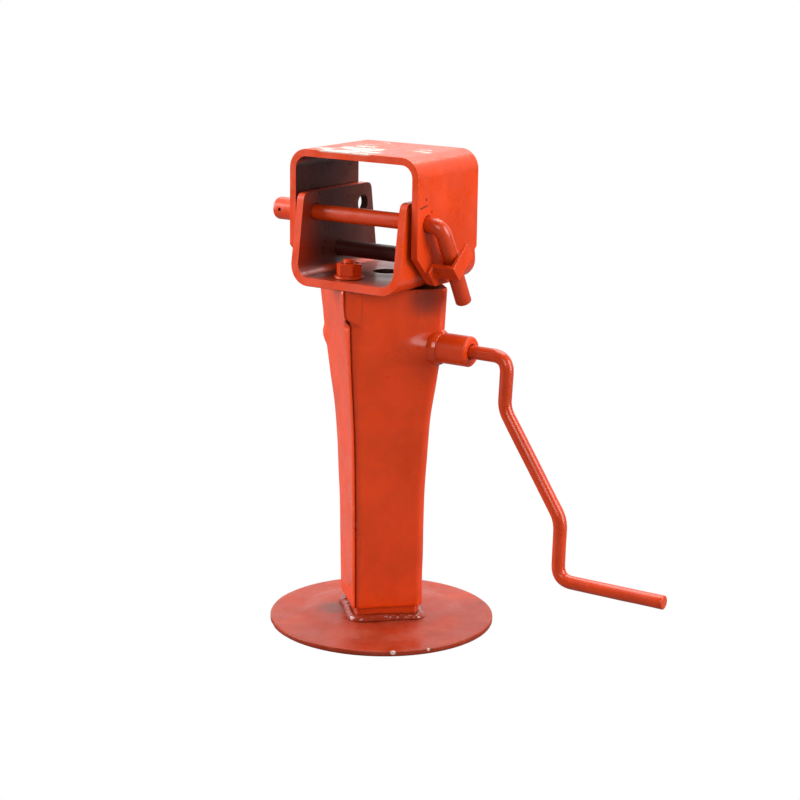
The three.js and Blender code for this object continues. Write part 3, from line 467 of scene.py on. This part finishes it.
def bracket_marks(t, tone, chips, rough, normal):
    """Pale scuffs on top, widened into a painted highlight, pits beside the lock pin, and painted shade
    between the ears, under the web and in the holes.
    """
    x, y, height = t.axis("X"), t.axis("Y"), t.axis("Z")
    # pale scuffs on the top, widened so that they also stand as a painted highlight on the top face
    on_top = t.step(height, BRACKET_TOP - 1.5 * MM, BRACKET_TOP - 0.5 * MM)
    worn = t.both(t.near(SCUFF_AND_HIGHLIGHT_PLACE, 0.006, 0.042), 0.2)
    scuff_and_highlight = t.step(t.math("ADD", t.noise(110, 6, 0.65, t.stretched((0.45, 1, 1))), worn), 0.6, 0.66)
    scuff_and_highlight = t.both(scuff_and_highlight, on_top)
    pits = [t.near(place, size, 0.7 * MM) for place, size in PITS]
    tone = t.mix(t.most(*pits, t.scratch(*GOUGE, 0.0007, 0.0006)), tone, SOOT_AND_SHADE)
    inward = t.step(t.both(x, t.axis("X", t.facing)), -0.030, -0.043)
    inner_ear = t.step(y, -0.062, -0.022, 0.35, 0.93)
    outer_ear = t.both(t.step(t.math("ABSOLUTE", x), 0.0575, 0.0585), t.step(y, -0.066, -0.046, 0.5, 0.92))
    on_ears = t.both(inward, t.most(inner_ear, outer_ear))
    facing_up = t.axis("Z", t.facing)
    near_web = t.step(height, BRACKET_TOP - 23 * MM, BRACKET_TOP - 13 * MM)
    under_web = t.both(t.step(facing_up, -0.4, -0.8), near_web)
    floor_top = TILT_UNDER + TILT_PLATE
    on_floor = t.both(t.step(facing_up, 0.6, 0.9), t.step(height, floor_top + 1.2 * MM, floor_top + 0.5 * MM))
    on_floor = t.both(on_floor, t.step(y, -0.066, -0.045, 0.25, 0.8))
    in_grease_hole = t.step(height, TILT_UNDER + 0.5 * MM, TILT_UNDER + 0.1 * MM)
    # the crank's bush has the same paint lower down, and is kept out of the painted shade
    above_ears = t.step(height, TILT_UNDER - 12 * MM, TILT_UNDER - 11 * MM)
    low_down = t.both(t.most(on_floor, in_grease_hole), above_ears)
    in_lock_hole = t.near(REAR_LOCK_HOLE, 8.3 * MM, 0.5 * MM)
    # painted shade: inward faces of the ears, the underside by the web, the floor between the ears and the
    # lock hole darken where shade falls
    tone = t.mix(t.most(on_ears, low_down, in_lock_hole, t.both(under_web, 0.9)), tone, INNER_SHADE)
    # painted shade: a near-black disc over the grease hole
    tone = t.mix(t.near(GREASE_HOLE, 12.3 * MM, 0.6 * MM), tone, SOOT_AND_SHADE)
    rough = t.math("ADD", rough, t.both(scuff_and_highlight, 0.3))
    return tone, t.most(chips, scuff_and_highlight), rough, normal


PIN_BLACK = (0.012, 0.002, 0.002)


def rod_marks(t, tone, chips, rough, normal):
    """The pivot pin is near black and rougher between the ears."""
    from_axis = t.math("ADD", t.math("POWER", t.axis("Y"), 2.0),
                       t.math("POWER", t.math("SUBTRACT", t.axis("Z"), PIVOT_HEIGHT), 2.0))
    between_ears = t.step(t.math("ABSOLUTE", t.axis("X")), 0.054, 0.05)
    on_pin = t.both(t.step(from_axis, (10.5 * MM) ** 2, (9.5 * MM) ** 2), between_ears)
    tone = t.mix(t.both(on_pin, 0.93), tone, PIN_BLACK)
    return tone, chips, t.math("ADD", rough, t.both(on_pin, 0.25)), normal


def weld_marks(t, tone, chips, rough, normal):
    """The weld up at the crank's bush is cleaner than the one on the foot."""
    return t.mix(t.step(t.axis("Z"), 0.1, 0.2), tone, CLEAN_WELD_RED), chips, rough, normal


MATERIALS = {
    "bracket_paint": enamel("bracket_enamel", BRACKET_RED, roughness=0.34, coat=0.2, dirt_and_shade=0.6, peel=1.0,
                            marks=bracket_marks),
    "housing_paint": enamel("housing_enamel", HOUSING_RED, roughness=0.36, coat=0.2, dirt_and_shade=0.5, peel=0.9,
                            marks=housing_marks),
    "rod_paint": enamel("rod_enamel", ROD_RED, roughness=0.32, coat=0.25, dirt_and_shade=0.3, peel=0.3,
                        marks=rod_marks, edge=0),
    "foot_paint": enamel("foot_enamel", FOOT_RED, roughness=0.34, coat=0.08, dirt_and_shade=0.6, peel=1.2,
                         marks=foot_marks, wear=1.0, shine=0.22),
    "weld_paint": enamel("weld_enamel", WELD_RED, roughness=0.2, coat=0.45, dirt_and_shade=0.9, peel=0.2,
                         marks=weld_marks, edge=0),
    "gear_steel": bare_metal("oiled_steel", (0.3, 0.3, 0.31), 0.32),
    "machined_steel": bare_metal("machined_steel", (0.52, 0.52, 0.53), 0.25, turned=True),
    "bronze": bare_metal("nut_bronze", (0.55, 0.34, 0.13), 0.3, turned=True),
}
SLOT_OF = {s["node"]: s["material_slot"] for s in frame["record"]["subparts"]}
BODY_OF = {n: o["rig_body"] for n, o in NODES.items()}


# ---------------------------------------------------------------- CAD nodes with rounded edges
WIDE_EDGES = {"mount_bracket": 0.9, "tilt_bracket": 0.9, "pin_keeper": 0.5, "lock_pin_guide": 0.5}
FINE_EDGE = 0.35  # edge widths are in millimetres
FLAT, SHARP = math.radians(0.6), math.radians(30)  # angles between faces that count as flat and as an edge
SAME_POINT = 0.01 * MM


def merge(piece, distance):
    weld = piece.modifiers.new("merge", "WELD")
    weld.merge_threshold = distance


def refine(node):
    """Rounds a CAD node's edges and gives it its paint."""
    piece = NODES[node]
    mesh = piece.data
    if mesh.attributes.get("custom_normal"):
        mesh.attributes.remove(mesh.attributes["custom_normal"])
    for polygon in mesh.polygons:
        polygon.use_smooth = True
    merge(piece, 0.004 * MM)
    flat = piece.modifiers.new("flats", "DECIMATE")
    flat.decimate_type = "DISSOLVE"
    flat.angle_limit = FLAT
    edge = piece.modifiers.new("edges", "BEVEL")
    edge.width, edge.segments = WIDE_EDGES.get(node, FINE_EDGE) * MM, 3
    edge.limit_method, edge.angle_limit = "ANGLE", SHARP
    shade = piece.modifiers.new("shade", "WEIGHTED_NORMAL")
    shade.weight = 80
    mesh.materials.clear()
    mesh.materials.append(MATERIALS[SLOT_OF[node]])


def piece_from(name, vertices, faces, stands_for):
    """A new smooth piece that stands for a CAD node and rides on its body."""
    mesh = bpy.data.meshes.new(name)
    mesh.from_pydata(vertices, [], faces)
    mesh.update()
    for polygon in mesh.polygons:
        polygon.use_smooth = True
    mesh.materials.append(MATERIALS[SLOT_OF[stands_for]])
    piece = bpy.data.objects.new(name, mesh)
    bpy.context.scene.collection.objects.link(piece)
    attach(piece, BODY_OF[stands_for])
    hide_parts(stands_for)
    return piece


def grid_faces(rows, columns, loop_rows=False):
    """Quads over a grid of points stored row by row, closed along each row."""
    faces = []
    for i in range(rows if loop_rows else rows - 1):
        for j in range(columns):
            k, m = (j + 1) % columns, (i + 1) % rows
            faces.append((i * columns + j, i * columns + k, m * columns + k, m * columns + j))
    return faces


def waver(point, scale, amount):
    """Smooth noise of a given amplitude, scale times as fine as a metre."""
    return noise.noise(point * scale + SEED) * amount


# ---------------------------------------------------------------- housing
WALL = 2.75 * MM
SEAM_RADIUS_LEAST, SEAM_RADIUS_MOST, INNER_RADIUS_LEAST = 1.5 * MM, 17 * MM, 0.4 * MM
SEAM_SPAN, SEAM_STEPS = 14 * MM, 20  # finely divided part of the wall beside a seam
FLAT_STEPS, CORNER_STEPS = 20, 8
CORNER = 8 * MM
SHARPER = 3.4 * MM  # one pressing's edge at each seam is sharper than the other's by this much
# (height, front reach) of the flats near the mouth. The front corner itself steps out at the notch.
FLARE = [(0.240, 0.0513), (0.262, 0.0540), (0.276, 0.0566), (0.290, 0.0600), (0.308, 0.0630)]
SEAM_HALF_GAP = 0.1 * MM
GROOVE_DEPTH, GROOVE_WIDTH = 0.5 * MM, 0.8 * MM
NOTCH = {"z": 0.280, "half": 2.4 * MM, "width": 1.3 * MM}
# Both side corners are formed outward at the shaft: a dome on the left and a cone on the right.
DOME = {"reach": 64.9 * MM, "fall_up": 35, "fall_across": 80, "soft": 1.2 * MM}
CONE = {"reach": 58.4 * MM, "radius": 13 * MM, "slope": 1.95, "soft": 5.0 * MM}
DENTS = [(22, 0.5 * MM), (60, 0.16 * MM)]  # how fine and how deep
SKIN_INSET = 0.3 * MM  # keeps the dented surface inside the CAD model's box
END_ROUND, END_PULL = 1.2 * MM, 0.5 * MM  # how the wall's ends are softened
CALM = 10 * MM  # no dents this close to a seam
LEFT, RIGHT, FRONT = 1, 2, 3


def housing_profile():
    """(height, left, right and front reach) of the CAD housing's corners, at its ring heights."""
    def reaches(node, side):
        front, wide = {}, {}
        for v in NODES[node].data.vertices:
            z = round(v.co.z, 5)
            front[z] = max(front.get(z, 0), v.co.y)
            wide[z] = max(wide.get(z, 0), side * v.co.x)
        return {z: (wide[z], r) for z, r in front.items() if r > 0.04}

    left, right = reaches("housing_shell_left", -1), reaches("housing_shell_right", 1)
    return [(z, left[z][0], right[z][0], right[z][1]) for z in sorted(right)]


PROFILE = housing_profile()


def along_curve(points, z, which=1):
    """Smooth curve through a table of heights and reaches."""
    z = min(max(z, points[0][0]), points[-1][0])
    i = max(n for n in range(len(points) - 1) if points[n][0] <= z)
    near = [points[min(max(i + k, 0), len(points) - 1)] for k in (-1, 0, 1, 2)]
    (z0, r0), (z1, r1), (z2, r2), (z3, r3) = [(ring[0], ring[which]) for ring in near]
    t = (z - z1) / (z2 - z1)
    rise_1 = (r2 - r0) / max(z2 - z0, 1e-9) * (z2 - z1)
    rise_2 = (r3 - r1) / max(z3 - z1, 1e-9) * (z2 - z1)
    return ((2 * t**3 - 3 * t**2 + 1) * r1 + (t**3 - 2 * t**2 + t) * rise_1
            + (3 * t**2 - 2 * t**3) * r2 + (t**3 - t**2) * rise_2)


def reach_at(z, which):
    if which == FRONT and z > FLARE[0][0]:
        return along_curve(FLARE, z)
    return along_curve(PROFILE, z, which)


def formed(x, y, z, side):
    """Carries a point's distance along X out over the boss on that side of the housing."""
    up = z - SHAFT_HEIGHT
    if side == LEFT:
        boss = DOME["reach"] - DOME["fall_up"] * up * up - DOME["fall_across"] * y * y
        soft = DOME["soft"]
    else:
        boss = CONE["reach"] - CONE["slope"] * (math.hypot(y, up) - CONE["radius"])
        soft = CONE["soft"]
    gap = max(soft - abs(x - boss), 0) / soft
    return max(x, boss) + gap * gap * soft / 4


def blend_step(value, low, high):
    t = min(max((value - low) / (high - low), 0), 1)
    return t * t * (3 - 2 * t)


def quarter_section(z, side, inset, square, front):
    """Points of a quarter of the wall from the seam corner to the middle of the side corner."""
    reach = reach_at(z, FRONT)
    spread = (reach_at(z, side) - inset) / (reach - inset)
    step_back = reach - along_curve(PROFILE, z, FRONT) if front else 0
    seam_radius = CORNER + step_back / (math.sqrt(2) - 1) - (SHARPER if square else 0)
    seam_radius = min(max(seam_radius, SEAM_RADIUS_LEAST), SEAM_RADIUS_MOST)
    start = SEAM_HALF_GAP
    lift = abs(z - NOTCH["z"]) / NOTCH["half"]
    if front and lift < 1:
        start += NOTCH["width"] * math.sqrt(1 - lift * lift)
    flat = reach - CORNER + CORNER * math.sqrt(2) - inset * math.sqrt(2)
    seam_radius = max(seam_radius - inset, INNER_RADIUS_LEAST)
    side_radius = CORNER - inset
    points = []
    centre = flat - seam_radius * math.sqrt(2)
    for i in range(SEAM_STEPS + 1):
        x = start + (SEAM_SPAN - start) * (i / SEAM_STEPS) ** 1.8
        bend = x < seam_radius * math.sqrt(0.5)
        y = centre + math.sqrt(seam_radius**2 - x * x) if bend else flat - x
        if inset == 0 and not square:
            y -= GROOVE_DEPTH * math.exp(-(((x - start) / GROOVE_WIDTH) ** 2))
        points.append((x, -y))
    centre = flat - side_radius * math.sqrt(2)
    bend_x = centre + side_radius * math.sqrt(0.5)
    for i in range(1, FLAT_STEPS):
        x = SEAM_SPAN + (bend_x - SEAM_SPAN) * i / FLAT_STEPS
        points.append((x, x - flat))
    for i in range(CORNER_STEPS + 1):
        angle = math.radians(-45 + 45 * i / CORNER_STEPS)
        points.append((centre + side_radius * math.cos(angle), side_radius * math.sin(angle)))
    return [(x * spread, y) for x, y in points]


PLAIN_RINGS, BOSS_SPACING = 84, 1.5 * MM


def shell_rings():
    """Heights of the housing's rings, closer together at its ends, the notch and the bosses."""
    low, high = PROFILE[0][0], PROFILE[-1][0]
    heights = {low, low + END_ROUND / 3, low + END_ROUND, high, high - END_ROUND / 3, high - END_ROUND}
    heights |= {low + (high - low) * i / PLAIN_RINGS for i in range(1, PLAIN_RINGS)}
    heights |= {NOTCH["z"] + NOTCH["half"] * 1.15 * i / 10 for i in range(-10, 11)}
    heights |= {SHAFT_HEIGHT + BOSS_SPACING * i for i in range(-21, 22)}
    return sorted(heights)


def half_ring(z, side, inset):
    """One pressing's section. The left one is square at the front seam, the right one at the rear."""
    front = quarter_section(z, side, inset, side == LEFT, True)
    rear = [(x, -y) for x, y in quarter_section(z, side, inset, side == RIGHT, False)]
    return front + rear[::-1][1:]


def make_shell(name, side, stands_for):
    """One pressing, with side 1 on the right and -1 on the left."""
    heights = shell_rings()
    low, high = heights[0], heights[-1]
    which = LEFT if side < 0 else RIGHT
    rows = []
    for z in heights:
        pull = END_PULL * max(1 - (z - low) / END_ROUND, 1 - (high - z) / END_ROUND, 0)
        outer, inner = half_ring(z, which, 0), half_ring(z, which, WALL)
        ring = []
        for x, y in outer:
            point = Vector((side * x, y, z))
            heading = Vector((side * x, y, 0)).normalized()
            dent = sum(waver(point, fineness, depth) for fineness, depth in DENTS)
            away = min(abs(x) / CALM, 1)
            point += heading * ((dent - SKIN_INSET) * away - pull)
            ring.append(Vector((side * formed(abs(point.x), y, z, which), point.y, z)))
        ring += [Vector((side * x, y, z)) for x, y in reversed(inner)]
        rows += ring
    count = len(ring)
    faces = grid_faces(len(heights), count)
    for base, flip in ((0, True), ((len(heights) - 1) * count, False)):
        for i in range(count // 2 - 1):
            quad = [base + i, base + i + 1, base + count - 2 - i, base + count - 1 - i]
            faces.append(quad[::-1] if flip else quad)
    if side < 0:
        faces = [f[::-1] for f in faces]
    piece_from(name, rows, faces, stands_for)


# ---------------------------------------------------------------- foot
FOOT_RIM = 5 * MM
RISE_OUT, RISE_IN = 78 * MM, 55 * MM  # radii between which the foot rises to its raised centre
LOW_EDGE, TOP_EDGE = 1.2 * MM, 1.0 * MM  # radii of the rim's edges
NICK_DEPTH, NICK_WIDTH = 1.6 * MM, 3 * MM
FOOT_SAG = 0.5 * MM
FOOT_TURNS = 160


def foot_profile(radius, top):
    """(radius, height) from the middle of the foot's underside, round its rim, to the middle of its top."""
    quarter = [math.pi * i / 8 for i in range(5)]
    profile = [(0.0, 0.0), (radius * 0.5, 0.0), (radius - 4 * MM, 0.0)]
    profile += [(radius - LOW_EDGE + LOW_EDGE * math.sin(a), LOW_EDGE - LOW_EDGE * math.cos(a))
                for a in quarter]
    profile += [(radius - TOP_EDGE + TOP_EDGE * math.cos(a), FOOT_RIM - TOP_EDGE + TOP_EDGE * math.sin(a))
                for a in quarter]
    profile += [(radius - 4 * MM, FOOT_RIM), (radius - 11 * MM, FOOT_RIM), (RISE_OUT, FOOT_RIM)]
    rise = [i / 12 for i in range(1, 13)]
    profile += [(RISE_OUT + (RISE_IN - RISE_OUT) * t, FOOT_RIM + (top - FOOT_RIM) * blend_step(t, 0, 1))
                for t in rise]
    return profile + [(RISE_IN * (1 - i / 6), top) for i in range(1, 7)]


def make_foot():
    """The pressed disc, with a nicked rim and a slightly uneven rolled surface."""
    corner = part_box("foot_plate")[1]
    profile = foot_profile(corner.x, corner.z)
    vertices = []
    for r, z in profile:
        for j in range(FOOT_TURNS):
            angle = 2 * math.pi * j / FOOT_TURNS
            point = Vector((r * math.cos(angle), r * math.sin(angle), z))
            nick = max(waver(point, 55, 1) - 0.32, 0) * NICK_DEPTH if r > corner.x - NICK_WIDTH else 0
            shrink = 1 - nick / max(r, MM)
            sag = abs(waver(point, 18, FOOT_SAG)) * blend_step(z, 1 * MM, FOOT_RIM)
            vertices.append((point.x * shrink, point.y * shrink, max(z - sag, 0)))
    merge(piece_from("foot_disc", vertices, grid_faces(len(profile), FOOT_TURNS), "foot_plate"), SAME_POINT)


# ---------------------------------------------------------------- weld beads
BEAD_STEPS = 12
LUMPS = [(170, 1.1, SEED), (420, 0.45, Vector())]  # how fine, how high and where the noise starts


def bead(name, stations, stands_for, ripple, rough, scallop, fullness):
    """A closed weld bead. A station gives its root, its two legs and the distance run so far.

    ripple is the length of one ripple and rough the height of the lumps. scallop and fullness say how far
    the bead swells, as a share of half its width.
    """
    vertices = []
    for root, wall, plate, run in stations:
        out = ((wall + plate) / 2 - root).normalized()
        share = fullness + scallop * math.sin(math.pi * (run % ripple) / ripple)
        swell_out = out * (wall - plate).length / 2 * share
        for i in range(BEAD_STEPS + 1):
            t = i / BEAD_STEPS
            base = wall.lerp(plate, t)
            swell = math.sin(math.pi * t)
            lump = sum(noise.noise(base * fine + start) * high for fine, high, start in LUMPS) * rough
            vertices.append(base + swell_out * swell + out * lump * (0.25 + swell))
        vertices.append(root)
    faces = grid_faces(len(stations), BEAD_STEPS + 2, loop_rows=True)
    piece_from(name, vertices, [f[::-1] for f in faces], stands_for)


def square_path(half, corner, spacing):
    """Points and outward directions round a square whose corners lie on the axes."""
    points = []
    turn = Matrix.Rotation(math.radians(45), 3, "Z")
    straight = 2 * (half - corner)
    for side in range(4):
        spin = Matrix.Rotation(math.radians(90) * side, 3, "Z")
        count = max(int(straight / spacing), 2)
        for i in range(count):
            place = Vector((half, -straight / 2 + straight * i / count, 0))
            points.append((turn @ spin @ place, turn @ spin @ Vector((1, 0, 0))))
        arc = max(int(corner * math.pi / 2 / spacing), 3)
        for i in range(arc):
            angle = math.pi / 2 * i / arc
            out = Vector((math.cos(angle), math.sin(angle), 0))
            place = Vector((half - corner, half - corner, 0)) + out * corner
            points.append((turn @ spin @ place, turn @ spin @ out))
    return points


LEG_CORNER = 6 * MM
WELD_GAP, WELD_STEP, WELD_ROOT = 0.2 * MM, 0.8 * MM, 0.3 * MM
WELD_WIDTH, WIDTH_SPREAD = 5.6 * MM, 1.2 * MM
WELD_HEIGHT, HEIGHT_SPREAD = 5.4 * MM, 1.3 * MM


def make_foot_weld():
    """Fillet all round the leg, of uneven width."""
    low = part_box("foot_weld")[0].z
    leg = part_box("inner_tube")[1].x
    half = (leg + LEG_CORNER * (math.sqrt(2) - 1)) / math.sqrt(2)
    stations, run, last = [], 0.0, None
    for place, out in square_path(half + WELD_GAP, LEG_CORNER, WELD_STEP):
        run += (place - last).length if last else 0
        last = place
        width = WELD_WIDTH + WIDTH_SPREAD * noise.noise(place * 60 + SEED)
        height = WELD_HEIGHT + HEIGHT_SPREAD * noise.noise(place * 45 - SEED)
        root = Vector((place.x, place.y, low)) - out * WELD_ROOT
        wall = root + Vector((0, 0, height))
        plate = root + out * width - Vector((0, 0, WELD_GAP))
        stations.append((root, wall, plate, run))
    bead("foot_fillet", stations, "foot_weld", ripple=7 * MM, rough=0.5 * MM, scallop=0.08, fullness=0.4)


def housing_face(y, z):
    """How far the housing's right side is from the axis, along X, at a point beside its corner."""
    front = reach_at(z, FRONT)
    if abs(y) < CORNER * math.sqrt(0.5):
        base = front - CORNER + math.sqrt(CORNER**2 - y * y)
    else:
        base = front - CORNER + CORNER * math.sqrt(2) - abs(y)
    return formed(base * reach_at(z, RIGHT) / front - SKIN_INSET, y, z, RIGHT)


BUSH_LEG, BUSH_STATIONS = 2.6 * MM, 180
ROOT_SUNK, LEG_SUNK = 0.8 * MM, 0.3 * MM  # how deep the bead's root and outer leg lie in the housing


def make_bush_weld():
    """Small fillet where the crank's bush meets the housing."""
    low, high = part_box("crank_bush")
    radius = (high.y - low.y) / 2
    stations = []
    for i in range(BUSH_STATIONS):
        angle = 2 * math.pi * i / BUSH_STATIONS
        out = Vector((0, math.cos(angle), math.sin(angle)))
        width = BUSH_LEG * (1 + 0.15 * noise.noise(out * 2.3 + SEED))
        inner, outer = (Vector((0, 0, SHAFT_HEIGHT)) + out * r for r in (radius, radius + width))
        near, far = housing_face(inner.y, inner.z), housing_face(outer.y, outer.z)
        root = Vector((near - ROOT_SUNK, inner.y, inner.z))
        wall = Vector((near + width, inner.y, inner.z))
        plate = Vector((far - LEG_SUNK, outer.y, outer.z))
        stations.append((root, wall, plate, radius * angle))
    bead("bush_fillet", stations, "bush_weld", ripple=5.2 * MM, rough=0.12 * MM, scallop=0.05, fullness=0.18)


# ---------------------------------------------------------------- bent rods
CRANK_RADIUS = 6 * MM
CRANK_BENDS = (14 * MM, 8 * MM, 9 * MM, 14 * MM)
LOCK_PIN_RADIUS = 7 * MM
LOCK_PIN_LEAN, LOCK_PIN_HANDLE = math.radians(28.5), 79 * MM
LOCK_PIN_ELBOW, LOCK_PIN_BEND = 78.3 * MM, 12 * MM
ROD_STEP, BEND_STEPS, ROD_SIDES = 5 * MM, 16, 32
CUT_ROUND = 1.1 * MM  # radius of the edge of a cut end
ROD_DENT = 0.16 * MM


def rod_route(corners, bends):
    """Points and directions along straight runs joined by smooth bends."""
    route, start = [], corners[0]
    for before, corner, after, bend in zip(corners, corners[1:], corners[2:], bends):
        arrive, leave = (corner - before).normalized(), (after - corner).normalized()
        first, last = corner - arrive * bend, corner + leave * bend
        count = max(int((first - start).length / ROD_STEP), 1)
        route += [(start.lerp(first, i / count), arrive) for i in range(count)]
        for i in range(BEND_STEPS):
            t = i / BEND_STEPS
            place = first * (1 - t) ** 2 + corner * 2 * t * (1 - t) + last * t * t
            route.append((place, ((corner - first) * (1 - t) + (last - corner) * t).normalized()))
        start = last
    end = corners[-1]
    count = max(int((end - start).length / ROD_STEP), 1)
    heading = (end - start).normalized()
    return route + [(start.lerp(end, i / count), heading) for i in range(count + 1)]


def make_rod(name, corners, bends, radius, stands_for):
    """A round rod along a route in one plane, with softened cut ends."""
    route = rod_route(corners, bends)
    normal = (corners[1] - corners[0]).cross(corners[2] - corners[1]).normalized()
    (first, ahead), (last, on) = route[0], route[-1]
    cut = [(CUT_ROUND * (1 - math.cos(a)), radius - CUT_ROUND * (1 - math.sin(a)))
           for a in (math.pi * i / 8 for i in range(4))]
    rings = [(first, ahead, 0.0)]
    rings += [(first + ahead * depth, ahead, size) for depth, size in cut]
    rings += [(place, along, radius) for place, along in route
              if min((place - first).length, (place - last).length) > 1.2 * CUT_ROUND]
    rings += [(last - on * depth, on, size) for depth, size in reversed(cut)]
    rings.append((last, on, 0.0))
    vertices = []
    for place, along, size in rings:
        across = along.cross(normal)
        for j in range(ROD_SIDES):
            angle = 2 * math.pi * j / ROD_SIDES
            out = normal * math.cos(angle) + across * math.sin(angle)
            dent = waver(place + out * radius, 45, ROD_DENT) - ROD_DENT if size == radius else 0
            vertices.append(place + out * max(size + dent, 0))
    merge(piece_from(name, vertices, grid_faces(len(rings), ROD_SIDES), stands_for), SAME_POINT)


def make_crank():
    low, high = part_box("crank_handle")
    grip = low.z + CRANK_RADIUS
    places = ((low.x, SHAFT_HEIGHT), (124.5 * MM, SHAFT_HEIGHT), (122.5 * MM, 212 * MM), (180 * MM, 124 * MM),
              (179 * MM, grip), (high.x, grip))
    make_rod("crank_rod", [Vector((x, 0, z)) for x, z in places], CRANK_BENDS, CRANK_RADIUS, "crank_handle")


def make_lock_pin():
    start = Vector((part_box("lock_pin")[0].x, LOCK_BORE.y, LOCK_BORE.z))
    elbow = Vector((LOCK_PIN_ELBOW, LOCK_BORE.y, LOCK_BORE.z))
    end = elbow + Vector((0, math.sin(LOCK_PIN_LEAN), -math.cos(LOCK_PIN_LEAN))) * LOCK_PIN_HANDLE
    make_rod("lock_rod", [start, elbow, end], (LOCK_PIN_BEND,), LOCK_PIN_RADIUS, "lock_pin")


# ---------------------------------------------------------------- studs
STUD_SHAFT, THREAD_DEPTH, THREAD_PITCH = 5.9 * MM, 0.9 * MM, 1.75 * MM
STUD_FLANGE, STUD_POINT = 5 * MM, 1.2 * MM  # heights
STUD_TURNS, RINGS_PER_PITCH = 40, 7


def make_stud(node):
    """Flanged stud whose shaft carries a rolled coarse thread."""
    low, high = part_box(node)
    centre, flange = middle(node), (high.x - low.x) / 2
    flange_top = low.z + STUD_FLANGE

    def at(j, r, z):
        angle = 2 * math.pi * j / STUD_TURNS
        return centre.x + r * math.cos(angle), centre.y + r * math.sin(angle), z

    rings = [(0, low.z), (flange - 0.5 * MM, low.z), (flange, low.z + 0.5 * MM),
             (flange, flange_top - 0.3 * MM), (flange - 0.3 * MM, flange_top), (STUD_SHAFT, flange_top)]
    steps = int((high.z - flange_top) / (THREAD_PITCH / RINGS_PER_PITCH))
    vertices = [at(j, r, z) for r, z in rings for j in range(STUD_TURNS)]
    for i in range(1, steps + 1):
        z = flange_top + (high.z - flange_top) * i / steps
        for j in range(STUD_TURNS):
            wave = abs(((z / THREAD_PITCH - j / STUD_TURNS) % 1) * 2 - 1)
            r = STUD_SHAFT - THREAD_DEPTH * min(max(wave * 1.25 - 0.12, 0), 1)
            if z > high.z - STUD_POINT:
                r = min(r, STUD_SHAFT - 0.2 * MM - (z - high.z + STUD_POINT))
            vertices.append(at(j, r, z))
    vertices += [(centre.x, centre.y, high.z)] * STUD_TURNS
    faces = grid_faces(len(rings) + steps + 1, STUD_TURNS)
    merge(piece_from(node + "_threaded", vertices, faces, node), SAME_POINT)


# ---------------------------------------------------------------- build
make_camera()
make_floor()
make_studio()

REPLACED = {"housing_shell_right", "housing_shell_left", "foot_plate", "foot_weld", "bush_weld",
            "crank_handle", "lock_pin", "stud_front", "stud_rear"}
for node in NODES:
    if node not in REPLACED:
        refine(node)
make_shell("housing_half_right", 1, "housing_shell_right")
make_shell("housing_half_left", -1, "housing_shell_left")
make_foot()
make_foot_weld()
make_bush_weld()
make_crank()
make_lock_pin()
for node in ("stud_front", "stud_rear"):
    make_stud(node)
